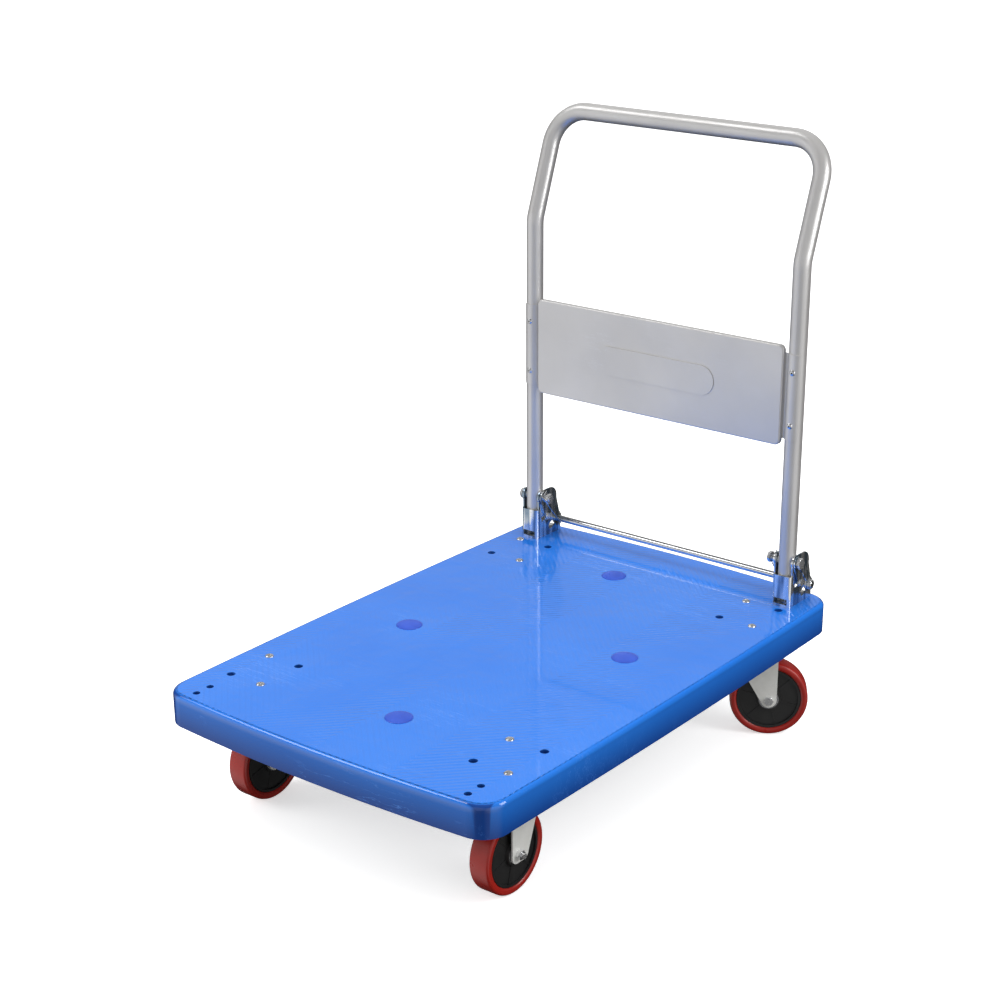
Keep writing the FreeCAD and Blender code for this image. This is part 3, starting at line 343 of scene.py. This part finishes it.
def build_streaks_and_painted_reflection():
    """Long upright streaks left by drawing and plating a folded sheet, as a height, and painted reflection in the
    same streaks, as a tone from dark to light.
    """
    tree, start, end = new_group(
        "drawn_streaks_and_painted_reflection",
        [("Vector", "Vector", None), ("Streak Scale", "Float", 120.0), ("Length Share", "Float", 0.05)],
        [("Height", "Float"), ("Painted Reflection", "Float")],
    )
    stretch = tree.nodes.new("ShaderNodeCombineXYZ")
    stretch.inputs["X"].default_value = 1.0
    stretch.inputs["Y"].default_value = 1.0
    tree.links.new(start.outputs["Length Share"], stretch.inputs["Z"])
    scaled = tree.nodes.new("ShaderNodeVectorMath")
    scaled.operation = "MULTIPLY"
    tree.links.new(start.outputs["Vector"], scaled.inputs[0])
    tree.links.new(stretch.outputs[0], scaled.inputs[1])
    streak = noise(tree, scaled.outputs[0], start.outputs["Streak Scale"], 1.0, 0.4)
    tree.links.new(streak, end.inputs["Height"])
    # painted reflection: the tone of the streaks stands in for the room mirrored in the sheet
    tree.links.new(remap(tree, streak, 0.42, 0.54), end.inputs["Painted Reflection"])
    return tree


GRAIN = build_grain()
STREAKS_AND_PAINTED_REFLECTION = build_streaks_and_painted_reflection()
SCUFFS = build_scuffs()
CHEVRONS = build_chevrons()
RIB_MARKS = build_rib_marks()
FOOT_SHADE = build_foot_shade()
RIPPLES = build_ripples()


# ---- finishes

class Finish:
    """One material: a Principled shader with object coordinates, and ways to add detail."""

    def __init__(self, name, **constants):
        self.material = bpy.data.materials.new(name)
        self.material.use_nodes = True
        self.tree = self.material.node_tree
        self.tree.nodes.clear()
        self.shader = self.tree.nodes.new("ShaderNodeBsdfPrincipled")
        out = self.tree.nodes.new("ShaderNodeOutputMaterial")
        self.tree.links.new(self.shader.outputs["BSDF"], out.inputs["Surface"])
        coords = self.tree.nodes.new("ShaderNodeTexCoord")
        self.place = coords.outputs["Object"]
        for label, value in constants.items():
            self.shader.inputs[label.replace("_", " ")].default_value = value
        self.bumps = None

    def effect(self, group, **values):
        node = group_node(self.tree, group, **values)
        self.tree.links.new(self.place, node.inputs["Vector"])
        return node

    def colour(self, factor, first, second):
        mix = self.tree.nodes.new("ShaderNodeMix")
        mix.data_type = "RGBA"
        self.tree.links.new(factor, mix.inputs["Factor"])
        for slot, value in ((6, first), (7, second)):
            if isinstance(value, tuple):
                mix.inputs[slot].default_value = (*value, 1.0)
            else:
                self.tree.links.new(value, mix.inputs[slot])
        return mix.outputs[2]

    def base(self, socket):
        self.tree.links.new(socket, self.shader.inputs["Base Color"])

    def roughness(self, factor, low, high):
        self.tree.links.new(remap(self.tree, factor, 0.0, 1.0, low, high), self.shader.inputs["Roughness"])

    def bump(self, height, strength, distance):
        node = self.tree.nodes.new("ShaderNodeBump")
        node.inputs["Strength"].default_value = strength
        node.inputs["Distance"].default_value = distance
        self.tree.links.new(height, node.inputs["Height"])
        if self.bumps is not None:
            self.tree.links.new(self.bumps, node.inputs["Normal"])
        self.bumps = node.outputs["Normal"]
        self.tree.links.new(self.bumps, self.shader.inputs["Normal"])


def moulded_deck():
    finish = Finish("moulded_blue_deck", Specular_IOR_Level=0.3, Coat_Roughness=0.05)
    grain = finish.effect(GRAIN, Grain_Scale=420.0, Mottle_Scale=3.0)
    scuffs = finish.effect(SCUFFS, Scratch_Scale=26.0, Smudge_Scale=5.0)
    chevrons = finish.effect(CHEVRONS, Pitch=0.012, Row=0.13)
    ribs = finish.effect(RIB_MARKS, Pitch_X=0.062, Pitch_Y=0.066)
    blue = finish.colour(grain.outputs["Mottle"], (0.014, 0.158, 0.650), (0.022, 0.194, 0.740))
    foot = finish.effect(FOOT_SHADE)
    ripples = finish.effect(RIPPLES, Ripple_Scale=15.0)
    # painted shade: the dark navy darkens the skirt towards its foot, and the bores and ribs below the top face
    shaded = finish.colour(foot.outputs["Shade"], blue, (0.010, 0.060, 0.300))
    finish.base(finish.colour(scuffs.outputs["Scratches"], shaded, (0.08, 0.26, 0.80)))
    finish.roughness(scuffs.outputs["Smudges"], 0.08, 0.16)
    finish.tree.links.new(foot.outputs["Top"], finish.shader.inputs["Coat Weight"])
    finish.bump(ribs.outputs["Height"], 0.8, 0.0003)
    finish.bump(ripples.outputs["Height"], 1.0, 0.0050)
    finish.bump(chevrons.outputs["Height"], 1.0, 0.00028)
    finish.bump(grain.outputs["Height"], 0.06, 0.0002)
    return finish.material


def moulded_cap():
    finish = Finish("moulded_violet_plug", Specular_IOR_Level=0.5)
    grain = finish.effect(GRAIN, Grain_Scale=500.0, Mottle_Scale=40.0)
    scuffs = finish.effect(SCUFFS, Scratch_Scale=60.0, Smudge_Scale=30.0)
    finish.base(finish.colour(grain.outputs["Mottle"], (0.020, 0.070, 0.46), (0.030, 0.090, 0.54)))
    finish.roughness(scuffs.outputs["Smudges"], 0.24, 0.40)
    finish.bump(grain.outputs["Height"], 0.15, 0.0002)
    return finish.material


def powder_coat():
    finish = Finish("silver_powder_coat", Metallic=0.55, Coat_Weight=0.3, Coat_Roughness=0.16)
    grain = finish.effect(GRAIN, Grain_Scale=1400.0, Mottle_Scale=8.0)
    scuffs = finish.effect(SCUFFS, Scratch_Scale=40.0, Smudge_Scale=9.0)
    grey = finish.colour(grain.outputs["Mottle"], (0.60, 0.59, 0.58), (0.66, 0.65, 0.64))
    finish.base(finish.colour(scuffs.outputs["Scratches"], grey, (0.66, 0.66, 0.66)))
    finish.roughness(scuffs.outputs["Smudges"], 0.30, 0.42)
    finish.bump(grain.outputs["Height"], 0.12, 0.0003)
    return finish.material


def plated_steel(name, dark, light, low, high, scale, metal=1.0):
    """Zinc plate: a mirror with slow changes of tone and sheen, and a fine grain."""
    finish = Finish(name, Metallic=metal)
    grain = finish.effect(GRAIN, Grain_Scale=scale * 30.0, Mottle_Scale=scale)
    scuffs = finish.effect(SCUFFS, Scratch_Scale=scale * 1.5, Smudge_Scale=scale)
    tone = finish.colour(grain.outputs["Mottle"], dark, light)
    finish.base(finish.colour(scuffs.outputs["Scratches"], tone, (0.58, 0.58, 0.60)))
    finish.roughness(scuffs.outputs["Smudges"], low, high)
    finish.bump(grain.outputs["Height"], 0.10, 0.0002)
    return finish.material


def folded_zinc():
    """Bright zinc on folded sheet: upright streaks bend what it mirrors, and its dark bluish and near-white
    upright bands are painted reflection.
    """
    finish = Finish("bright_bracket_zinc", Metallic=0.93)
    grain = finish.effect(GRAIN, Grain_Scale=1200.0, Mottle_Scale=40.0)
    scuffs = finish.effect(SCUFFS, Scratch_Scale=60.0, Smudge_Scale=40.0)
    streaks = finish.effect(STREAKS_AND_PAINTED_REFLECTION, Streak_Scale=110.0, Length_Share=0.04)
    # painted reflection: dark bluish and near-white upright bands stand in for the deck and room mirrored in the
    # zinc
    tone = finish.colour(streaks.outputs["Painted Reflection"], (0.26, 0.34, 0.42), (0.96, 0.97, 0.97))
    finish.base(finish.colour(scuffs.outputs["Scratches"], tone, (0.58, 0.58, 0.60)))
    finish.roughness(scuffs.outputs["Smudges"], 0.14, 0.26)
    finish.bump(streaks.outputs["Height"], 1.0, 0.0016)
    finish.bump(grain.outputs["Height"], 0.08, 0.0002)
    return finish.material


def tyre_rubber():
    finish = Finish("red_wheel_tyre", Specular_IOR_Level=0.5, Coat_Weight=0.2, Coat_Roughness=0.2)
    grain = finish.effect(GRAIN, Grain_Scale=600.0, Mottle_Scale=22.0)
    scuffs = finish.effect(SCUFFS, Scratch_Scale=50.0, Smudge_Scale=26.0)
    red = finish.colour(grain.outputs["Mottle"], (0.36, 0.013, 0.008), (0.45, 0.019, 0.011))
    finish.base(finish.colour(scuffs.outputs["Scratches"], red, (0.36, 0.05, 0.04)))
    finish.roughness(scuffs.outputs["Smudges"], 0.24, 0.42)
    finish.bump(grain.outputs["Height"], 0.12, 0.0003)
    return finish.material


def plain_plastic(name, dark, light, low, high):
    finish = Finish(name)
    grain = finish.effect(GRAIN, Grain_Scale=700.0, Mottle_Scale=25.0)
    scuffs = finish.effect(SCUFFS, Scratch_Scale=50.0, Smudge_Scale=20.0)
    finish.base(finish.colour(grain.outputs["Mottle"], dark, light))
    finish.roughness(scuffs.outputs["Smudges"], low, high)
    finish.bump(grain.outputs["Height"], 0.2, 0.0003)
    return finish.material


def pale_floor():
    finish = Finish("pale_studio_floor")
    grain = finish.effect(GRAIN, Grain_Scale=60.0, Mottle_Scale=1.5)
    finish.base(finish.colour(grain.outputs["Mottle"], (0.90, 0.90, 0.90), (0.92, 0.92, 0.92)))
    finish.roughness(grain.outputs["Mottle"], 0.75, 0.85)
    # a light table glows a little, so that shadows on it stay pale
    finish.shader.inputs["Emission Color"].default_value = (1.0, 1.0, 1.0, 1.0)
    finish.shader.inputs["Emission Strength"].default_value = FLOOR_GLOW
    return finish.material


FINISHES = {
    "deck_plastic": moulded_deck(),
    "cap_plastic": moulded_cap(),
    "handle_paint": powder_coat(),
    "bracket_zinc": folded_zinc(),
    "fork_zinc": plated_steel(
        "pale_fork_zinc", (0.84, 0.84, 0.80), (0.92, 0.92, 0.88), 0.34, 0.48, 60.0, 0.10),
    "fastener_zinc": plated_steel(
        "fastener_zinc_plate", (0.80, 0.81, 0.82), (0.92, 0.92, 0.93), 0.16, 0.30, 120.0, 0.85),
    "rivet_aluminium": plated_steel(
        "rivet_satin_aluminium", (0.72, 0.73, 0.75), (0.82, 0.82, 0.84), 0.22, 0.36, 150.0),
    "spring_steel": plated_steel(
        "drawn_spring_wire", (0.46, 0.47, 0.49), (0.60, 0.61, 0.62), 0.18, 0.32, 150.0),
    "bearing_steel": plated_steel(
        "ground_bearing_steel", (0.52, 0.53, 0.55), (0.66, 0.66, 0.68), 0.16, 0.30, 120.0),
    "tyre_rubber": tyre_rubber(),
    "core_plastic": plain_plastic(
        "black_core_nylon", (0.010, 0.010, 0.010), (0.020, 0.020, 0.020), 0.38, 0.55),
    "black_plastic": plain_plastic(
        "black_tube_plug", (0.012, 0.012, 0.012), (0.024, 0.024, 0.024), 0.40, 0.60),
    "bush_plastic": plain_plastic(
        "natural_nylon_bush", (0.66, 0.66, 0.58), (0.76, 0.76, 0.70), 0.35, 0.50),
}
# drawn parts that share a slot with folded sheet, but have no upright streaks
DRAWN = {
    "release_bar": plated_steel(
        "drawn_bar_zinc", (0.66, 0.67, 0.69), (0.80, 0.81, 0.82), 0.12, 0.22, 60.0),
}


def finish_nodes():
    """Give every CAD node its own finish where it is a drawn part, or else that of its slot."""
    for row in frame["record"]["subparts"]:
        node = frame["nodes"][row["node"]]
        finish = DRAWN.get(row["node"], FINISHES[row["material_slot"]])
        if not node.material_slots:
            node.data.materials.append(finish)
        for place in node.material_slots:
            place.material = finish


# ---- grown pieces: geometry node trees, each baked to a plain mesh

def new_tree(name, inputs):
    tree = bpy.data.node_groups.new(name, "GeometryNodeTree")
    tree.interface.new_socket("Geometry", in_out="INPUT", socket_type="NodeSocketGeometry")
    for label, kind, value in inputs:
        socket = tree.interface.new_socket(label, in_out="INPUT", socket_type="NodeSocket" + kind)
        if value is not None:
            socket.default_value = value
    tree.interface.new_socket("Geometry", in_out="OUTPUT", socket_type="NodeSocketGeometry")
    return tree, tree.nodes.new("NodeGroupInput"), tree.nodes.new("NodeGroupOutput")


def add_node(tree, kind, settings=(), **inputs):
    """A geometry node. Inputs are sockets or plain values, by label."""
    node = tree.nodes.new(kind)
    for label, value in settings:
        setattr(node, label, value)
    for label, value in inputs.items():
        slot = node.inputs[label.replace("_", " ")]
        if isinstance(value, bpy.types.NodeSocket):
            tree.links.new(value, slot)
        else:
            slot.default_value = value
    return node


def close_tree(tree, end, geometry, material):
    """End a tree: real mesh, with its finish."""
    real = add_node(tree, "GeometryNodeRealizeInstances", Geometry=geometry)
    paint = add_node(tree, "GeometryNodeSetMaterial", Geometry=real.outputs[0])
    tree.links.new(material, paint.inputs["Material"])
    tree.links.new(paint.outputs[0], end.inputs["Geometry"])


def grow(name, points, tree, values, body, slot, replaced):
    """Run a tree on a mesh of points and keep the result as one plain mesh on a body."""
    seed = bpy.data.meshes.new(name + "_places")
    seed.from_pydata([tuple(p) for p in points], [], [])
    source = bpy.data.objects.new(name + "_source", seed)
    bpy.context.scene.collection.objects.link(source)
    modifier = source.modifiers.new("grow", "NODES")
    modifier.node_group = tree
    values = dict(values, Finish=FINISHES[slot])
    for item in tree.interface.items_tree:
        if item.in_out == "INPUT" and item.name in values:
            modifier[item.identifier] = values[item.name]
    bpy.context.view_layer.update()
    evaluated = source.evaluated_get(bpy.context.evaluated_depsgraph_get())
    mesh = bpy.data.meshes.new_from_object(evaluated)
    source.modifiers.remove(modifier)
    bpy.data.objects.remove(source)
    mesh.name = name
    piece = bpy.data.objects.new(name, mesh)
    bpy.context.scene.collection.objects.link(piece)
    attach(piece, body)
    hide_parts(*replaced)
    return piece


def set_piece(piece, matrix):
    piece.data.transform(matrix)
    piece.data.update()


def clusters(node, reach):
    """The separate solids of a node, told apart by nearness: box centre, low and high corner."""
    groups = []
    for vertex in frame["nodes"][node].data.vertices:
        here = vertex.co
        for group in groups:
            if (group[0] - here).length < reach:
                group[1].append(here)
                break
        else:
            groups.append((here.copy(), [here]))
    centres = []
    for _, members in groups:
        low = Vector([min(v[i] for v in members) for i in range(3)])
        high = Vector([max(v[i] for v in members) for i in range(3)])
        centres.append(((low + high) / 2, low, high))
    return centres


# ---- tyres

TYRE_SHOULDER_SHARE = 0.38


def build_tyre_tree():
    """A band with rounded shoulders, swept round the wheel."""
    tree, start, end = new_tree("tyre_band", [
        ("Middle Radius", "Float", 0.05675), ("Thickness", "Float", 0.0115), ("Width", "Float", 0.034),
        ("Shoulder", "Float", 0.004), ("Finish", "Material", None),
    ])
    circle = add_node(tree, "GeometryNodeCurvePrimitiveCircle", Resolution=144,
                      Radius=start.outputs["Middle Radius"])
    band = add_node(tree, "GeometryNodeCurvePrimitiveQuadrilateral",
                    Width=start.outputs["Thickness"], Height=start.outputs["Width"])
    rounded = add_node(tree, "GeometryNodeFilletCurve", [("mode", "POLY")], Curve=band.outputs[0],
                       Count=7, Radius=start.outputs["Shoulder"])
    swept = add_node(tree, "GeometryNodeCurveToMesh", Curve=circle.outputs[0],
                     Profile_Curve=rounded.outputs[0])
    smooth = add_node(tree, "GeometryNodeSetShadeSmooth", Geometry=swept.outputs[0])
    close_tree(tree, end, smooth.outputs[0], start.outputs["Finish"])
    return tree


def wheel_turn(corner):
    """The turn that takes a wheel lying about Z onto its own axle."""
    for joint in frame["joints"]:
        if joint["child"] == "wheel_" + corner:
            axle = Vector(joint["axis"])
            return Matrix.Translation(joint["pos_m"]) @ axle.to_track_quat("Z", "Y").to_matrix().to_4x4()


def add_tyres():
    tree = build_tyre_tree()
    low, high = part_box("tyre_front_right")
    core_low, core_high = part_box("core_front_right")
    outer = (high.z - low.z) / 2
    inner = (core_high.z - core_low.z) / 2
    values = {
        "Middle Radius": (outer + inner) / 2,
        "Thickness": outer - inner,
        "Width": high.x - low.x,
        "Shoulder": (outer - inner) * TYRE_SHOULDER_SHARE,
    }
    for corner in CORNERS:
        tyre = grow("tyre_band_" + corner, [(0, 0, 0)], tree, values,
                    "wheel_" + corner, "tyre_rubber", ["tyre_" + corner])
        set_piece(tyre, wheel_turn(corner))


# ---- screws, plugs and rivets

# a vertex nearer than this to the first one of a solid belongs to it
SCREW_REACH = 60 * MM
RIVET_REACH = 30 * MM
SCREW_SLOT_SHARE = 0.26
SCREW_SHANK_SHARE = 0.61
RIVET_HEAD_HEIGHT = 2.7 * MM
RIVET_HOLE_SHARE = 0.3
RIVET_SHANK_SHARE = 0.49
CAP_RISE = 3.4 * MM
CAP_STEM_SHARE = 0.8


def build_headed_tree(name, recess):
    """Domed heads at given points, along +Z. The crown has a cross recess, a round hole or neither."""
    tree, start, end = new_tree(name, [
        ("Head Radius", "Float", 0.0065), ("Head Height", "Float", 0.0032),
        ("Recess", "Float", 0.0009), ("Shank Radius", "Float", 0.004), ("Shank Length", "Float", 0.05),
        ("Spin", "Float", 0.0), ("Finish", "Material", None),
    ])
    radius, height = start.outputs["Head Radius"], start.outputs["Head Height"]

    def pair(operation, a, b):
        node = tree.nodes.new("ShaderNodeMath")
        node.operation = operation
        for slot, value in enumerate((a, b)):
            if isinstance(value, (int, float)):
                node.inputs[slot].default_value = value
            else:
                tree.links.new(value, node.inputs[slot])
        return node.outputs[0]

    def vector(x, y, z):
        node = tree.nodes.new("ShaderNodeCombineXYZ")
        for slot, value in enumerate((x, y, z)):
            if isinstance(value, (int, float)):
                node.inputs[slot].default_value = value
            else:
                tree.links.new(value, node.inputs[slot])
        return node.outputs[0]

    def moved(geometry, translation=None, scale=None):
        node = tree.nodes.new("GeometryNodeTransform")
        tree.links.new(geometry, node.inputs["Geometry"])
        if translation is not None:
            tree.links.new(translation, node.inputs["Translation"])
        if scale is not None:
            tree.links.new(scale, node.inputs["Scale"])
        return node.outputs[0]

    ball = add_node(tree, "GeometryNodeMeshUVSphere", Segments=32, Rings=20, Radius=radius)
    flat = moved(ball.outputs["Mesh"], scale=vector(1.0, 1.0, pair("DIVIDE", height, radius)))
    block = add_node(tree, "GeometryNodeMeshCube", Size=vector(
        pair("MULTIPLY", radius, 4.0), pair("MULTIPLY", radius, 4.0), pair("MULTIPLY", height, 2.0)))
    below = moved(block.outputs["Mesh"], translation=vector(0.0, 0.0, pair("MULTIPLY", height, -1.0)))
    bars = []
    if recess == "cross":
        long = pair("MULTIPLY", radius, 1.25)
        thin = start.outputs["Recess"]
        deep = pair("MULTIPLY", height, 1.2)
        bars = [add_node(tree, "GeometryNodeMeshCube", Size=vector(long, thin, deep)).outputs["Mesh"],
                add_node(tree, "GeometryNodeMeshCube", Size=vector(thin, long, deep)).outputs["Mesh"]]
    elif recess == "hole":
        hole = add_node(tree, "GeometryNodeMeshCylinder", Vertices=20, Radius=start.outputs["Recess"],
                        Depth=pair("MULTIPLY", height, 1.2))
        bars = [hole.outputs["Mesh"]]
    cut = tree.nodes.new("GeometryNodeMeshBoolean")
    cut.operation = "DIFFERENCE"
    tree.links.new(flat, cut.inputs["Mesh 1"])
    tree.links.new(below, cut.inputs["Mesh 2"])
    for bar in bars:
        tree.links.new(moved(bar, translation=vector(0.0, 0.0, height)), cut.inputs["Mesh 2"])
    shank = add_node(tree, "GeometryNodeMeshCylinder", Vertices=24, Radius=start.outputs["Shank Radius"],
                     Depth=start.outputs["Shank Length"])
    down = pair("MULTIPLY", start.outputs["Shank Length"], -0.5)
    lowered = moved(shank.outputs["Mesh"], translation=vector(0.0, 0.0, down))
    whole = tree.nodes.new("GeometryNodeJoinGeometry")
    tree.links.new(cut.outputs["Mesh"], whole.inputs["Geometry"])
    tree.links.new(lowered, whole.inputs["Geometry"])
    random = tree.nodes.new("FunctionNodeRandomValue")
    random.data_type = "FLOAT"
    random.inputs[3].default_value = math.pi
    random.inputs["Seed"].default_value = 7
    turned = pair("MULTIPLY", random.outputs[1], start.outputs["Spin"])
    place = tree.nodes.new("GeometryNodeInstanceOnPoints")
    tree.links.new(start.outputs["Geometry"], place.inputs["Points"])
    tree.links.new(whole.outputs["Geometry"], place.inputs["Instance"])
    tree.links.new(vector(0.0, 0.0, turned), place.inputs["Rotation"])
    close_tree(tree, end, place.outputs["Instances"], start.outputs["Finish"])
    return tree


def add_caster_screws():
    deck_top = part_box("deck")[1].z
    solids = clusters("caster_screws", SCREW_REACH)
    low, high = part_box("caster_screws")
    points = [(centre.x, centre.y, deck_top) for centre, _, _ in solids]
    radius = (solids[0][2].x - solids[0][1].x) / 2
    values = {
        "Head Radius": radius, "Head Height": high.z - deck_top, "Recess": radius * SCREW_SLOT_SHARE,
        "Shank Radius": radius * SCREW_SHANK_SHARE, "Shank Length": deck_top - low.z, "Spin": 1.0,
    }
    grow("cross_head_screws", points, build_headed_tree("cross_head_screw", "cross"), values,
         "chassis", "fastener_zinc", ["caster_screws"])


def add_caps():
    """The plugs in the deck: low domes on a stem."""
    deck_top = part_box("deck")[1].z
    solids = clusters("deck_caps", SCREW_REACH)
    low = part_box("deck_caps")[0]
    points = [(centre.x, centre.y, deck_top) for centre, _, _ in solids]
    radius = (solids[0][2].x - solids[0][1].x) / 2
    values = {
        "Head Radius": radius, "Head Height": CAP_RISE, "Recess": 0.0,
        "Shank Radius": radius * CAP_STEM_SHARE, "Shank Length": deck_top - low.z, "Spin": 0.0,
    }
    grow("domed_caps", points, build_headed_tree("domed_cap", "plain"), values,
         "chassis", "cap_plastic", ["deck_caps"])


def add_rivets():
    """The rivets point out of the panel's front face, towards -Y."""
    solids = clusters("panel_rivets", RIVET_REACH)
    front = min(low.y for _, low, _ in solids)
    back = max(high.y for _, _, high in solids)
    radius = (solids[0][2].x - solids[0][1].x) / 2
    face = front + RIVET_HEAD_HEIGHT
    points = [(centre.x, centre.z, -face) for centre, _, _ in solids]
    values = {
        "Head Radius": radius, "Head Height": face - front, "Recess": radius * RIVET_HOLE_SHARE,
        "Shank Radius": radius * RIVET_SHANK_SHARE, "Shank Length": back - face, "Spin": 0.0,
    }
    rivets = grow("blind_rivets", points, build_headed_tree("blind_rivet", "hole"), values,
                  "handle", "rivet_aluminium", ["panel_rivets"])
    # a quarter turn about X takes the tree's +Z to -Y and its +Y to +Z
    set_piece(rivets, Matrix.Rotation(math.radians(90), 4, "X"))


finish_nodes()
add_tyres()
add_caster_screws()
add_caps()
add_rivets()

# ---- studio

def add_floor():
    mesh = bpy.data.meshes.new("studio_floor")
    reach = FLOOR_REACH
    mesh.from_pydata([(-reach, -reach, 0), (reach, -reach, 0), (reach, reach, 0), (-reach, reach, 0)],
                     [], [(0, 1, 2, 3)])
    floor = bpy.data.objects.new("studio_floor", mesh)
    mesh.materials.append(pale_floor())
    bpy.context.scene.collection.objects.link(floor)
    # mirrored and diffuse rays see the room, not the floor
    floor.visible_glossy = False
    floor.visible_diffuse = False


bpy.context.scene.view_settings.view_transform = "Standard"
add_floor()
add_world()
add_camera()
for softbox in SOFTBOXES:
    add_softbox(*softbox)
